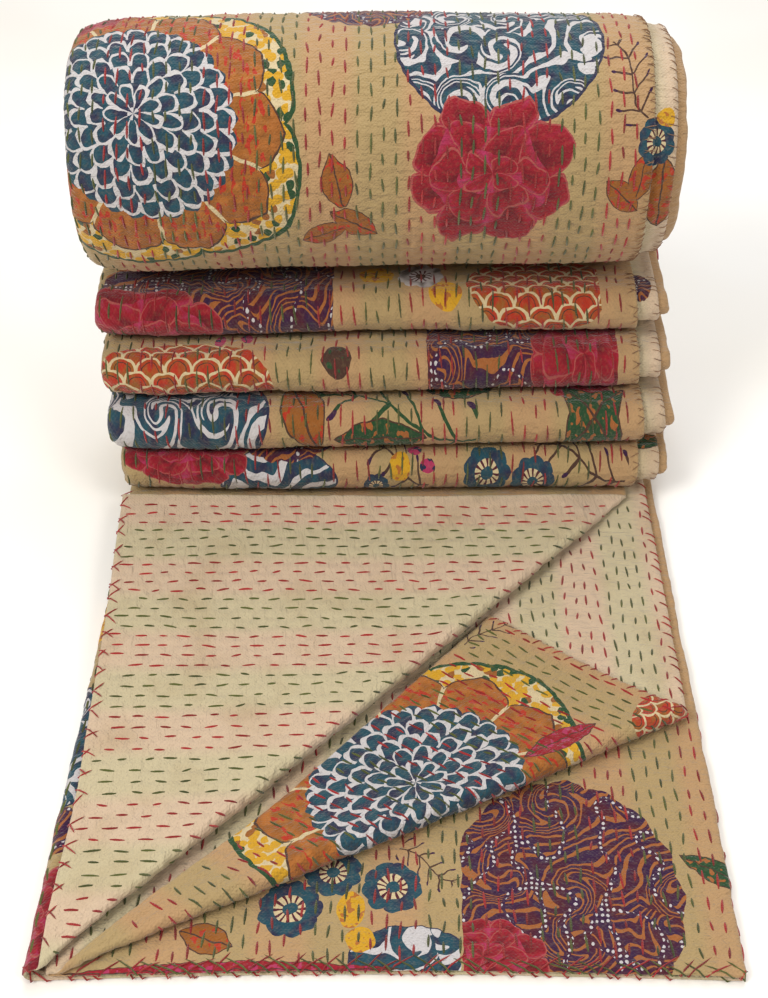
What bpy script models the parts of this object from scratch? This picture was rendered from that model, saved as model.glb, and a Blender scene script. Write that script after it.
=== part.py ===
"""A kantha quilt: one hand-quilted cotton cloth, folded in four across its width, folded to and fro
into four pleats with the rest wound into a roll on top, and with its front end laid out flat.

The whole quilt is one closed sheet. Every point of it is a function of three lengths on the flat
cloth: u across it, v along it and e through it. The cloth is cut into triangles on the flat, along
the lines where it bends, and each corner is then carried to its folded place.
Metres, +Z up, the front edge towards -Y. The origin is on the floor under the middle of the quilt.
"""

import math

import bmesh
import bpy
import numpy as np
from mathutils import Vector
from mathutils.geometry import delaunay_2d_cdt

MM = 0.001

# The cloth
CLOTH_LENGTH = 2286 * MM  # 90 inches, a single quilt
CLOTH_THICKNESS = 2.4 * MM
PLY_PITCH = 3.9 * MM  # from one ply to the next, middle to middle

# The strip that it is folded into, four plies one over the other
STRIP_WIDTH = 390 * MM
TOP_HEM_INSET = 23.4 * MM  # how far the top ply's hem stops short of the right fold
INNER_HEM_INSET = 7.8 * MM
INNER_FOLD_INSET = 14.2 * MM  # the left fold of the two inner plies, inside the outer fold

# The pleats, from the lowest up: how far back each one's nose stands from the front edge
BAND_PITCH = 18.04 * MM  # from one pass of the strip to the next, middle to middle
PLEAT_NOSES = (360 * MM, 367 * MM, 384 * MM, 403 * MM)
PLEAT_BACK = 484 * MM

# The roll
ROLL_RADIUS = 86 * MM
ROLL_CENTRE_Y = 466 * MM
ROLL_TURN_PITCH = 17 * MM
ROLL_END_TAPER = 0.13  # share of its radius that a roll loses at its ends
ROLL_END_POWERS = (12, 8)  # left and right: the higher, the shorter the stretch that tapers

# How the soft stack differs from a ruled one
LEANS_FROM, LEANS_ABOVE = 10 * MM, 60 * MM  # heights between which the stack starts to lean and draw back
NOSE_END_RECESS = 9 * MM
NOSE_END_POWER = 6  # of the place across: the higher, the shorter the stretch that draws back
STACK_SKEW = 5 * MM  # its right end stands this far back, and its left end forward
END_DROOP = 4.5 * MM
DROOPS_FROM, DROOPS_ABOVE = 14 * MM, 70 * MM
ROLL_TOP_DROOP = 0.3  # share of that droop that is left at the top of the roll
STACK_ROWS = (
    # height of the strip's middle, how far it has slipped to the right, its width as a share
    (0 * MM, 4 * MM, 1.0),
    (14 * MM, 4 * MM, 1.0),
    (33 * MM, 9 * MM, 1.005),
    (69 * MM, 7 * MM, 1.03),
    (104 * MM, 3 * MM, 1.02),
    (139 * MM, 0 * MM, 1.02),
    (175 * MM, -3 * MM, 1.0),
    (240 * MM, -4 * MM, 0.985),
)
FRONT_BOW = 4 * MM  # the front edge is this far back at its middle
FRONT_BOW_DEPTH = 120 * MM
LEFT_EDGE_ROWS = (
    # distance from the front edge, how far the laid-out front's left edge lies to the right
    (0 * MM, -6.5 * MM),
    (120 * MM, -2 * MM),
    (240 * MM, 2.5 * MM),
    (386 * MM, 4.5 * MM),
    (450 * MM, 0 * MM),
)

# The top ply's front corner, turned back to the left
TOP_CREASE_ANGLE = math.radians(45.6)
TOP_CREASE_RADIUS = 4.2 * MM
TOP_CREASE_GROWTH = 90 * MM  # from its corner to where it has its full radius
PRESSED_FROM, PRESSED_TO = 40 * MM, 8 * MM  # before its end: where the lowest pleat presses it down
TOP_FLAP_LIE = 3.17 * MM  # of the flap over its own ply
TOP_FLAP_STRETCH = 1.035
TOP_PLY_LIFT = 3 * MM
LIFT_RUN = 40 * MM  # from the left fold to where the ply has its full lift
LIFT_ENDS_FROM, LIFT_ENDS_AT = 60 * MM, 15 * MM  # in front of the lowest pleat
# The second ply's front corner, turned back over itself
INNER_CREASE_ANGLE = math.radians(25.7)
INNER_CREASE_RADIUS = 6 * MM
INNER_CREASE_GROWTH = 150 * MM
INNER_FLAP_LIE = 3.4 * MM
INNER_FLAP_STRETCH = 0.86
CORNER_RADIUS = 1.45 * MM  # of both creases where they start
FLAP_SETTLE = 40 * MM

# The middle of the finished quilt, from the middle of the strip's front edge
ORIGIN_X = 4.2 * MM
ORIGIN_Y = 270.9 * MM

# How finely the flat cloth is cut up
PLY_LINES = (-150 * MM, 0 * MM, 150 * MM)  # across, where a ply is cut besides its edges
FRONT_LINES = (120 * MM, 240 * MM)
FRONT_END = PLEAT_NOSES[0] + 26 * MM  # the laid-out front reaches this far, in under the lowest pleat
CREASE_STATIONS = 8
CREASE_BUNCHING = 1.4  # how much closer the stations lie towards the corner
SETTLING_LINES = 2  # on the flap past its crease
SETTLING_LINE_PITCH = 28 * MM
SHORTEST_CELL = 4 * MM
SHARP_ANGLE = math.radians(50)
OUTER_FOLD_STEPS = 4
INNER_FOLD_STEPS = 3
PLEAT_TURN_STEPS = 5
ROLL_STEPS_PER_TURN = 15
CREASE_STEPS = 5
PATH_STEP = 0.5 * MM

BAND_HALF = 1.5 * PLY_PITCH + CLOTH_THICKNESS / 2
HALF_WIDTH = STRIP_WIDTH / 2
CLOTH_COLOUR = (0.60, 0.47, 0.29)


def strip_section():
    """The four plies seen from the front, as pieces of one line from the top ply's hem to the second's.

    Each piece is (length, start x, start height, end x, end height, fold centre height or None), and a
    fold is a half circle. Heights are measured from the middle of the four plies.
    """
    top, inner = 1.5 * PLY_PITCH, 0.5 * PLY_PITCH
    left = -HALF_WIDTH + CLOTH_THICKNESS / 2 + top
    inner_left = left + INNER_FOLD_INSET - top
    right = HALF_WIDTH - CLOTH_THICKNESS / 2 - inner
    top_hem = HALF_WIDTH - TOP_HEM_INSET
    inner_hem = HALF_WIDTH - INNER_HEM_INSET
    return (
        (top_hem - left, top_hem, top, left, top, None),
        (math.pi * top, left, top, left, -top, 0.0),
        (right - left, left, -top, right, -top, None),
        (math.pi * inner, right, -top, right, -inner, -PLY_PITCH),
        (right - inner_left, right, -inner, inner_left, -inner, None),
        (math.pi * inner, inner_left, -inner, inner_left, inner, 0.0),
        (inner_hem - inner_left, inner_left, inner, inner_hem, inner, None),
    )


SECTION = strip_section()
SECTION_ENDS = tuple(np.cumsum([0.0] + [piece[0] for piece in SECTION]))
CLOTH_WIDTH = SECTION_ENDS[-1]
TOP_PLY_END = SECTION_ENDS[1]
SECOND_PLY_START = SECTION_ENDS[6]


def place_in_section(u):
    """x, height and the printed side's direction (x, height) of each point u across the cloth."""
    x, height = np.zeros_like(u), np.zeros_like(u)
    side_x, side_h = np.zeros_like(u), np.zeros_like(u)
    for index, (length, x0, h0, x1, h1, centre) in enumerate(SECTION):
        here = u >= SECTION_ENDS[index] if index else np.full(u.shape, True)
        share = np.clip((u - SECTION_ENDS[index]) / length, 0, 1)[here]
        if centre is None:
            x[here] = x0 + (x1 - x0) * share
            height[here] = h0
            side_x[here] = 0
            side_h[here] = 1 if x1 < x0 else -1
            continue
        radius = abs(h0 - centre)
        outwards = -1 if index != 3 else 1
        start = math.copysign(math.pi / 2, h0 - centre)
        angle = start * (1 - 2 * share)
        x[here] = x0 + outwards * radius * np.cos(angle)
        height[here] = centre + radius * np.sin(angle)
        printed = -1 if index == 5 else 1
        side_x[here] = printed * outwards * np.cos(angle)
        side_h[here] = printed * np.sin(angle)
    return x, height, side_x, side_h


def strip_path():
    """The strip's middle, from the front edge to the end inside the roll: arrays of v, y, z and heading.

    It runs back along the floor, turns up and forward at the back and up and back at each nose, and then
    winds forward, up, over and down into the roll. The roll takes whatever is left of the cloth's length.
    Then come the values of v between which the strip is straight or turns evenly, and the roll's centre.
    """
    turn = BAND_PITCH / 2
    y, z, heading = [0.0], [BAND_HALF], [0.0]
    breaks = []

    def length_so_far():
        return float(np.hypot(np.diff(y), np.diff(z)).sum())

    def go_straight(to_y):
        count = max(2, int(abs(to_y - y[-1]) / PATH_STEP))
        forwards = 0.0 if to_y > y[-1] else math.pi
        level = z[-1]
        y.extend(np.linspace(y[-1], to_y, count + 1)[1:])
        z.extend([level] * count)
        heading.extend([forwards] * count)
        breaks.append(length_so_far())

    def turn_up(direction):
        """Half a turn upwards: direction is 1 at the back of the stack and -1 at a nose."""
        count = int(math.pi * turn / PATH_STEP)
        centre_y, centre_z = y[-1], z[-1] + turn
        start = length_so_far()
        for step in range(1, count + 1):
            angle = math.pi * step / count
            y.append(centre_y + direction * turn * math.sin(angle))
            z.append(centre_z - turn * math.cos(angle))
            heading.append(angle if direction > 0 else math.pi - angle)
        end = length_so_far()
        breaks.extend(start + (end - start) * k / PLEAT_TURN_STEPS for k in range(1, PLEAT_TURN_STEPS + 1))

    back = PLEAT_BACK - BAND_HALF - turn
    for nose in PLEAT_NOSES:
        go_straight(back)
        turn_up(1)
        go_straight(nose + BAND_HALF + turn)
        turn_up(-1)
    go_straight(back)
    turn_up(1)
    go_straight(ROLL_CENTRE_Y)

    outer = ROLL_RADIUS - BAND_HALF
    centre_z = z[-1] + outer
    wound = 0.0
    steps_per_break = int(2 * math.pi / ROLL_STEPS_PER_TURN * outer / PATH_STEP)
    step = 2 * math.pi / ROLL_STEPS_PER_TURN / steps_per_break
    reached = length_so_far()
    steps_left = steps_per_break
    while reached < CLOTH_LENGTH:
        wound += step
        radius = outer - ROLL_TURN_PITCH * wound / (2 * math.pi)
        y.append(ROLL_CENTRE_Y - radius * math.sin(wound))
        z.append(centre_z - radius * math.cos(wound))
        heading.append(math.pi - wound)
        reached += math.hypot(y[-1] - y[-2], z[-1] - z[-2])
        steps_left -= 1
        if steps_left == 0:
            breaks.append(reached)
            steps_left = steps_per_break
    y, z, heading = np.array(y), np.array(z), np.array(heading)
    v = np.concatenate([[0], np.cumsum(np.hypot(np.diff(y), np.diff(z)))])
    return v, y, z, heading, [b for b in breaks if b < v[-1] - SHORTEST_CELL] + [float(v[-1])], centre_z


PATH_V, PATH_Y, PATH_Z, PATH_HEADING, PATH_BREAKS, ROLL_CENTRE_Z = strip_path()
CLOTH_END = float(PATH_V[-1])


def smooth_step(value, start, end):
    """0 before start, 1 after end and an even S between them."""
    share = np.clip((value - start) / (end - start), 0, 1)
    return share * share * (3 - 2 * share)


def soften(x, y, z, middle_y, middle_z):
    """Moves points of the ruled stack to where soft cloth lies.

    middle_y and middle_z are the strip's middle at each point, so that its four plies move together: the
    ends of each nose draw back, the stack's ends droop, the roll's ends taper, and the whole slips aside.
    On the floor, the front edge bows back in its middle, and the left edge isn't straight.
    """
    across = np.clip(np.abs(x) / HALF_WIDTH, 0, 1)
    above = smooth_step(middle_z, LEANS_FROM, LEANS_ABOVE)
    from_centre = np.hypot(middle_y - ROLL_CENTRE_Y, middle_z - ROLL_CENTRE_Z)
    in_roll = smooth_step(-from_centre, -ROLL_RADIUS - BAND_HALF, -ROLL_RADIUS + BAND_HALF)
    in_roll = np.where(middle_z > ROLL_CENTRE_Z - ROLL_RADIUS, in_roll, 0)
    nose = 1 - smooth_step(middle_y, PLEAT_NOSES[-1], PLEAT_BACK - 2 * BAND_HALF)
    recess = NOSE_END_RECESS * across**NOSE_END_POWER * above * nose * (1 - in_roll)
    roll_top = smooth_step(middle_z, ROLL_CENTRE_Z - ROLL_RADIUS / 2, ROLL_CENTRE_Z + ROLL_RADIUS / 2)
    droop = END_DROOP * across**2 * smooth_step(middle_z, DROOPS_FROM, DROOPS_ABOVE)
    droop = droop * (1 - (1 - ROLL_TOP_DROOP) * roll_top)
    taper = ROLL_END_TAPER * across ** np.where(x < 0, *ROLL_END_POWERS) * in_roll
    on_floor = 1 - smooth_step(middle_z, LEANS_FROM, DROOPS_FROM)
    bow = FRONT_BOW * (1 - across**2) * (1 - smooth_step(y, 0, FRONT_BOW_DEPTH)) * on_floor
    leftwards = 0.5 - 0.5 * x / HALF_WIDTH
    edge = np.interp(y, *zip(*LEFT_EDGE_ROWS)) * leftwards * on_floor
    heights, slips, widths = zip(*STACK_ROWS)
    slip = np.interp(middle_z, heights, slips)
    width = np.interp(middle_z, heights, widths)
    skew = STACK_SKEW * x / HALF_WIDTH * above
    return (
        x * width + slip + edge,
        y + recess + bow + skew - taper * (middle_y - ROLL_CENTRE_Y),
        z - droop - taper * (middle_z - ROLL_CENTRE_Z),
    )


def crease_radius(along, full, length):
    """The radius of a turned-back corner's crease: tight at the corner, full after length."""
    return CORNER_RADIUS + (full - CORNER_RADIUS) * smooth_step(along, 0, length)


def turn_back(x, y, level, side, corner_x, angle, radius, lie, stretch):
    """Turns the cloth beyond a diagonal crease back over itself.

    The crease leaves the point (corner_x, 0) at angle. A point at a distance beyond it first goes round
    the crease, and past half a turn it lies flat again, on the other side, and settles down to lie.
    Returns the points and the printed side's direction.
    """
    along = (x - corner_x) * math.cos(angle) + y * math.sin(angle)
    beyond = (x - corner_x) * math.sin(angle) - y * math.cos(angle)
    bent = np.clip(beyond / radius, 0, math.pi)
    past = np.clip(beyond - math.pi * radius, 0, None)
    out = np.where(beyond > 0, radius * np.sin(bent) - past * stretch, beyond)
    rise = radius * (1 - np.cos(bent)) + (lie - 2 * radius) * (past > 0) * (1 - np.exp(-past / FLAP_SETTLE))
    new_x = corner_x + along * math.cos(angle) + out * math.sin(angle)
    new_y = along * math.sin(angle) - out * math.cos(angle)
    normal_out, normal_z = -side * np.sin(bent), side * np.cos(bent)
    normal = (normal_out * math.sin(angle), -normal_out * math.cos(angle), normal_z)
    return new_x, new_y, level + rise, normal


def top_crease_radius(along):
    """Of the top ply's crease, which is pressed down again where it runs under the lowest pleat."""
    end = PLEAT_NOSES[0] / math.sin(TOP_CREASE_ANGLE)
    radius = crease_radius(along, TOP_CREASE_RADIUS, TOP_CREASE_GROWTH)
    pressed = smooth_step(along, end - PRESSED_FROM, end - PRESSED_TO)
    return radius + (TOP_FLAP_LIE / 2 - radius) * pressed


def inner_crease_radius(along):
    return crease_radius(along, INNER_CREASE_RADIUS, INNER_CREASE_GROWTH)


def folded(u, v, e):
    """The folded place of each point of the flat cloth: u across, v along, e towards the printed side."""
    x, height, side_x, side_h = place_in_section(u)
    middle_y = np.interp(v, PATH_V, PATH_Y)
    middle_z = np.interp(v, PATH_V, PATH_Z)
    heading = np.interp(v, PATH_V, PATH_HEADING)
    up_y, up_z = -np.sin(heading), np.cos(heading)
    rise = height + e * side_h
    px, py, pz = x + e * side_x, middle_y + rise * up_y, middle_z + rise * up_z

    in_front = v <= FRONT_END
    top = in_front & (u <= TOP_PLY_END)
    corner_x = SECTION[0][3]
    lift = TOP_PLY_LIFT * smooth_step(x, corner_x, corner_x + LIFT_RUN)
    lift = lift * (1 - smooth_step(v, PLEAT_NOSES[0] - LIFT_ENDS_FROM, PLEAT_NOSES[0] - LIFT_ENDS_AT))
    along = (x - corner_x) * math.cos(TOP_CREASE_ANGLE) + v * math.sin(TOP_CREASE_ANGLE)
    turned = turn_back(
        x, v, middle_z + height + lift, side_h, corner_x, TOP_CREASE_ANGLE,
        top_crease_radius(along), TOP_FLAP_LIE, TOP_FLAP_STRETCH,
    )
    for mine, new in zip((px, py, pz), (turned[k] + e * turned[3][k] for k in range(3))):
        mine[top] = new[top]
    second = in_front & (u >= SECOND_PLY_START)
    corner_x = SECTION[6][1]
    along = (x - corner_x) * math.cos(INNER_CREASE_ANGLE) + v * math.sin(INNER_CREASE_ANGLE)
    turned = turn_back(
        x, v, middle_z + height, side_h, corner_x, INNER_CREASE_ANGLE,
        inner_crease_radius(along), INNER_FLAP_LIE, INNER_FLAP_STRETCH,
    )
    for mine, new in zip((px, py, pz), (turned[k] + e * turned[3][k] for k in range(3))):
        mine[second] = new[second]

    px, py, pz = soften(px, py, pz, middle_y, middle_z)
    return np.stack([px - ORIGIN_X, py - ORIGIN_Y, pz], axis=1)


def fold_lines_across():
    """The values of u where the cloth is cut along its whole length."""
    lines = []
    for index, (length, x0, _, x1, _, centre) in enumerate(SECTION):
        start = SECTION_ENDS[index]
        lines.append(start)
        if centre is not None:
            steps = OUTER_FOLD_STEPS if index == 1 else INNER_FOLD_STEPS
            lines.extend(start + length * k / steps for k in range(1, steps))
        else:
            lines.extend(start + abs(line - x0) for line in sorted(PLY_LINES, reverse=x1 < x0))
    return lines + [CLOTH_WIDTH]


def crease_lines(u_of_x, corner_x, hem_x, angle, radius_at):
    """Lines on the flat cloth along a turned-back corner's crease, at even steps round it and past it."""
    length = (hem_x - corner_x) / math.cos(angle)
    stations = [length * (k / CREASE_STATIONS) ** CREASE_BUNCHING for k in range(CREASE_STATIONS + 1)]
    lines = []
    for step in range(CREASE_STEPS + SETTLING_LINES + 1):
        line = []
        for along in stations:
            radius = radius_at(np.array(along))
            past = max(0, step - CREASE_STEPS) * SETTLING_LINE_PITCH
            beyond = math.pi * float(radius) * min(step, CREASE_STEPS) / CREASE_STEPS + past
            x = corner_x + along * math.cos(angle) + beyond * math.sin(angle)
            y = along * math.sin(angle) - beyond * math.cos(angle)
            line.append((x, y))
        lines.append([(u_of_x(x), y) for x, y in clip_line(line, hem_x)])
    return [line for line in lines if len(line) > 1]


def clip_line(line, hem_x):
    """The stretch of a line that lies on the cloth: behind the front edge and short of the hem."""
    kept = []
    for (x0, y0), (x1, y1) in zip(line, line[1:]):
        enter, leave = 0.0, 1.0
        if y0 < 0 and y1 > y0:
            enter = max(enter, -y0 / (y1 - y0))
        if x1 > hem_x and x1 > x0:
            leave = min(leave, (hem_x - x0) / (x1 - x0))
        if enter >= leave or (y0 < 0 and y1 <= 0):
            continue
        ends = [(x0 + (x1 - x0) * t, y0 + (y1 - y0) * t) for t in (enter, leave)]
        if not kept:
            kept.append(ends[0])
        kept.append(ends[1])
    return kept


def cut_flat_cloth():
    """Corners (u, v) and triangles of the flat cloth, cut along every line where it bends."""
    across = fold_lines_across()
    along = [0.0, *FRONT_LINES, FRONT_END, *PATH_BREAKS]
    points, edges = [], []

    def add_line(line):
        start = len(points)
        points.extend(line)
        edges.extend((start + k, start + k + 1) for k in range(len(line) - 1))

    for u in across:
        inside = 0 < u < TOP_PLY_END - MM or SECOND_PLY_START + MM < u < CLOTH_WIDTH
        add_line([(u, FRONT_END if inside else 0.0), (u, CLOTH_END)])
    for v in along:
        if 0 < v < FRONT_END:
            add_line([(TOP_PLY_END, v), (SECOND_PLY_START, v)])
        else:
            add_line([(0.0, v), (CLOTH_WIDTH, v)])
    top_hem, left = SECTION[0][1], SECTION[0][3]
    inner_left, inner_hem = SECTION[6][1], SECTION[6][3]

    def top_u(x):
        return top_hem - x

    def second_u(x):
        return SECOND_PLY_START + x - inner_left

    for line in (
        *crease_lines(top_u, left, top_hem, TOP_CREASE_ANGLE, top_crease_radius),
        *crease_lines(second_u, inner_left, inner_hem, INNER_CREASE_ANGLE, inner_crease_radius),
    ):
        add_line(line)
    flat, _, faces, *_ = delaunay_2d_cdt([Vector(p) for p in points], edges, [], 0, 1e-6)
    return np.array([tuple(p) for p in flat]), [tuple(f) for f in faces]


def make_quilt():
    flat, faces = cut_flat_cloth()
    u, v = flat[:, 0], flat[:, 1]
    half = np.full(u.shape, CLOTH_THICKNESS / 2)
    printed, plain = folded(u, v, half), folded(u, v, -half)
    mesh = bmesh.new()
    printed = [mesh.verts.new(p) for p in printed]
    plain = [mesh.verts.new(p) for p in plain]
    open_edges = {}
    for face in faces:
        mesh.faces.new([printed[k] for k in face])
        mesh.faces.new([plain[k] for k in reversed(face)])
        for a, b in zip(face, face[1:] + face[:1]):
            if (b, a) in open_edges:
                del open_edges[(b, a)]
            else:
                open_edges[(a, b)] = True
    for a, b in open_edges:
        mesh.faces.new([printed[b], printed[a], plain[a], plain[b]])
    bmesh.ops.triangulate(mesh, faces=[f for f in mesh.faces if len(f.verts) > 3])
    bmesh.ops.recalc_face_normals(mesh, faces=mesh.faces)
    data = bpy.data.meshes.new("quilt")
    mesh.to_mesh(data)
    mesh.free()
    data.shade_smooth()
    data.set_sharp_from_angle(angle=SHARP_ANGLE)
    quilt = bpy.data.objects.new("quilt", data)
    bpy.context.scene.collection.objects.link(quilt)
    return quilt


def cotton():
    material = bpy.data.materials.new("quilted_cotton")
    material.use_nodes = True
    shader = material.node_tree.nodes["Principled BSDF"]
    shader.inputs["Base Color"].default_value = (*CLOTH_COLOUR, 1)
    shader.inputs["Roughness"].default_value = 0.9
    shader.inputs["Metallic"].default_value = 0
    return material


def main():
    for old in list(bpy.data.objects):
        bpy.data.objects.remove(old)
    quilt = make_quilt()
    quilt.data.materials.append(cotton())


main()
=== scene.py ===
"""The looks of a kantha quilt: one printed cotton cloth with a plain beige back, quilted by hand in rows of
red and green running stitch, folded in four, pleated, rolled, and turned back at two front corners.

Every surface and stitch is worked out on the flat cloth, u across it, v along it and e through it, towards
the printed side, and one function, folded, carries such points to their folded place. Metres, +Z up.
"""

import math
from functools import partial

import bpy
import numpy as np
from bpy.props import FloatProperty, FloatVectorProperty, PointerProperty
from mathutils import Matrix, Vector


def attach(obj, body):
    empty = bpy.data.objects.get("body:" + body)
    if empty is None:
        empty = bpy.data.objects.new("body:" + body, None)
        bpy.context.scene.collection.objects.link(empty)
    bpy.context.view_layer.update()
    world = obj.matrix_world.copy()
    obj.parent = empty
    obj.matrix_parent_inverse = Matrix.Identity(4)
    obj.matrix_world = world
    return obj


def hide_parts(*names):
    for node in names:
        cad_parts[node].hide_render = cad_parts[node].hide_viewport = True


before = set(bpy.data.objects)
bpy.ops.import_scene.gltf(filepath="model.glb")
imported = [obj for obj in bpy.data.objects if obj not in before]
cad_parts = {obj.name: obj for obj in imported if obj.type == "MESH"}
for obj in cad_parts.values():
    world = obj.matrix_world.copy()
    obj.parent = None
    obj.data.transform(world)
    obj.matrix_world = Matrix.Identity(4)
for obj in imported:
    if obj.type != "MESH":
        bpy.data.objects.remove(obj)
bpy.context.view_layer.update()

bl_info = {
    "name": "Folded kantha quilt",
    "version": (1, 0, 0),
    "blender": (4, 5, 0),
    "location": "3D View > Sidebar > Quilt",
    "description": "A hand-quilted printed cotton quilt, folded, pleated and rolled",
    "category": "Object",
}

MM = 0.001

# The cloth
CLOTH_LENGTH = 2286 * MM
CLOTH_THICKNESS = 2.4 * MM
PLY_PITCH = 3.9 * MM
HEM_ROUNDING = 1.5 * MM

# The strip that it is folded into
STRIP_WIDTH = 390 * MM
TOP_HEM_INSET = 23.4 * MM
INNER_HEM_INSET = 7.8 * MM
INNER_FOLD_INSET = 14.2 * MM

# The pleats and the roll
BAND_PITCH = 18.04 * MM
PLEAT_NOSES = (360 * MM, 367 * MM, 384 * MM, 403 * MM)
PLEAT_BACK = 484 * MM
ROLL_RADIUS = 86 * MM
ROLL_CENTRE_Y = 466 * MM
ROLL_TURN_PITCH = 17 * MM
ROLL_END_TAPER = 0.13
ROLL_END_POWERS = (12, 8)

# How the soft stack differs from a ruled one
LEANS_FROM, LEANS_ABOVE = 10 * MM, 60 * MM
NOSE_END_RECESS = 9 * MM
NOSE_END_POWER = 6
STACK_SKEW = 5 * MM
END_DROOP = 4.5 * MM
DROOPS_FROM, DROOPS_ABOVE = 14 * MM, 70 * MM
ROLL_TOP_DROOP = 0.3
STACK_ROWS = (
    # height of the strip's middle, how far it has slipped to the right, its width as a share
    (0 * MM, 4 * MM, 1.0),
    (14 * MM, 4 * MM, 1.0),
    (33 * MM, 9 * MM, 1.005),
    (69 * MM, 7 * MM, 1.03),
    (104 * MM, 3 * MM, 1.02),
    (139 * MM, 0 * MM, 1.02),
    (175 * MM, -3 * MM, 1.0),
    (240 * MM, -4 * MM, 0.985),
)
FRONT_BOW = 4 * MM
FRONT_BOW_DEPTH = 120 * MM
LEFT_EDGE_ROWS = (
    # distance from the front edge, how far the laid-out front's left edge lies to the right
    (0 * MM, -6.5 * MM),
    (120 * MM, -2 * MM),
    (240 * MM, 2.5 * MM),
    (386 * MM, 4.5 * MM),
    (450 * MM, 0 * MM),
)
NOSE_WAVE = 2.2 * MM
ROLL_WAVE = 0.02  # share of its radius
FRONT_WAVE = 1.6 * MM

FRONT_END = PLEAT_NOSES[0] + 26 * MM  # the laid-out front reaches this far, in under the lowest pleat

# The two corners turned back
TOP_CREASE_ANGLE = math.radians(45.6)
TOP_CREASE_RADIUS = 4.2 * MM
TOP_CREASE_GROWTH = 90 * MM
PRESSED_FROM, PRESSED_TO = 40 * MM, 8 * MM
TOP_FLAP_LIE = 3.17 * MM
TOP_FLAP_STRETCH = 1.06
TOP_PLY_LIFT = 3 * MM
LIFT_RUN = 40 * MM
LIFT_ENDS_FROM, LIFT_ENDS_AT = 60 * MM, 15 * MM
INNER_CREASE_ANGLE = math.radians(25.7)
INNER_CREASE_RADIUS = 6 * MM
INNER_CREASE_GROWTH = 150 * MM
INNER_FLAP_LIE = 3.4 * MM
INNER_FLAP_STRETCH = 0.86
CORNER_RADIUS = 1.45 * MM
FLAP_SETTLE = 40 * MM

# The middle of the finished quilt, from the middle of the strip's front edge
ORIGIN_X = 4.2 * MM
ORIGIN_Y = 270.9 * MM

PATH_STEP = 0.5 * MM
BAND_HALF = 1.5 * PLY_PITCH + CLOTH_THICKNESS / 2
HALF_WIDTH = STRIP_WIDTH / 2
OUTER_TURN = math.tau * (ROLL_RADIUS - BAND_HALF - ROLL_TURN_PITCH / 2)  # the length of the roll's first turn

# How finely each part is made
HEM_STATIONS = (0.0, 0.35 * MM, 1.0 * MM, 2.0 * MM)
FOLD_STEP = 2.3 * MM
HIDDEN_STEP = 16 * MM
BACK_STEP = 7 * MM
NOSE_STEP = 1.8 * MM
BACK_TURN_STEP = 3 * MM
NEAR_NOSE = 28 * MM
NEAR_NOSE_STEP = 3.5 * MM
ROLL_STEP = 3.5 * MM
CORE_STEP = 9 * MM
PAST_TURN = 25 * MM  # the roll's outer piece reaches this far under itself
CORNER_ROWS = (104, 10, 60)  # of the top ply: past its crease, round it, and behind it
INNER_CORNER_ROWS = (56, 10, 80)  # the same of the second ply
LOOK_OUT = 26 * MM  # the second ply's hem looks out this far past the top ply's
ROW_WANDER = 1.3 * MM
CLOTH_MAP = "cloth"
SHARP_ANGLE = math.radians(62)
ROWS_OF_ONE_COLOUR = 4
PLAIN_SIDE_SHARE = 0.84  # a stitch on the plain side is this much as long as one on the printed side
DYE_STEP = 0.7  # in dye numbers from one stitch to the next, so that some neighbours share a dye
STITCH_STOPS = (0, 0.08, 0.36, 0.64, 0.92, 1)  # along a stitch
THREAD_FLATNESS = 0.8
LUMP_TABLE = (97, 89)  # how many random heights there are each way before they repeat
PUCKER_HEIGHT = 0.55 * MM
CREASE_HEIGHT, SWELL_HEIGHT = 0.55 * MM, 0.5 * MM
RELIEF_LIMIT = 0.8 * MM
STITCH_STAND, STITCH_DIVE = 0.5, 0.22  # of its width: how far its middle stands up, and its ends dive
WHIP_STOPS = (
    # share of the way in from the edge, share of the way along it, height as a share of the thickness
    (1.0, 0.0, 0.8),
    (0.75, 0.13, 1.12),
    (0.25, 0.38, 1.12),
    (-0.1, 0.5, 0.0),
    (0.25, 0.62, -1.12),
    (0.75, 0.87, -1.12),
    (1.0, 1.0, -0.8),
)
HEM_THREAD = 1.3 * MM
FINE_THREAD = 0.7 * MM
# From one stitch to the next, how deep it reaches in, and how far it leans along the hem
SIDE_WHIP = (6.2 * MM, 5.5 * MM, 3.4 * MM)
BACK_WHIP = (6.2 * MM, 5.5 * MM, -3.0 * MM)
RIGHT_WHIP = (9.5 * MM, 5 * MM, 8 * MM)
LEFT_WHIP = (15 * MM, 6 * MM, 12 * MM)
FRONT_WHIP = (10 * MM, 9 * MM, 25 * MM)
EDGE_SHARES = (0, 0.12, 0.35, 0.68)  # of a stretch's first cell, so that an edge there is rounded

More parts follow.
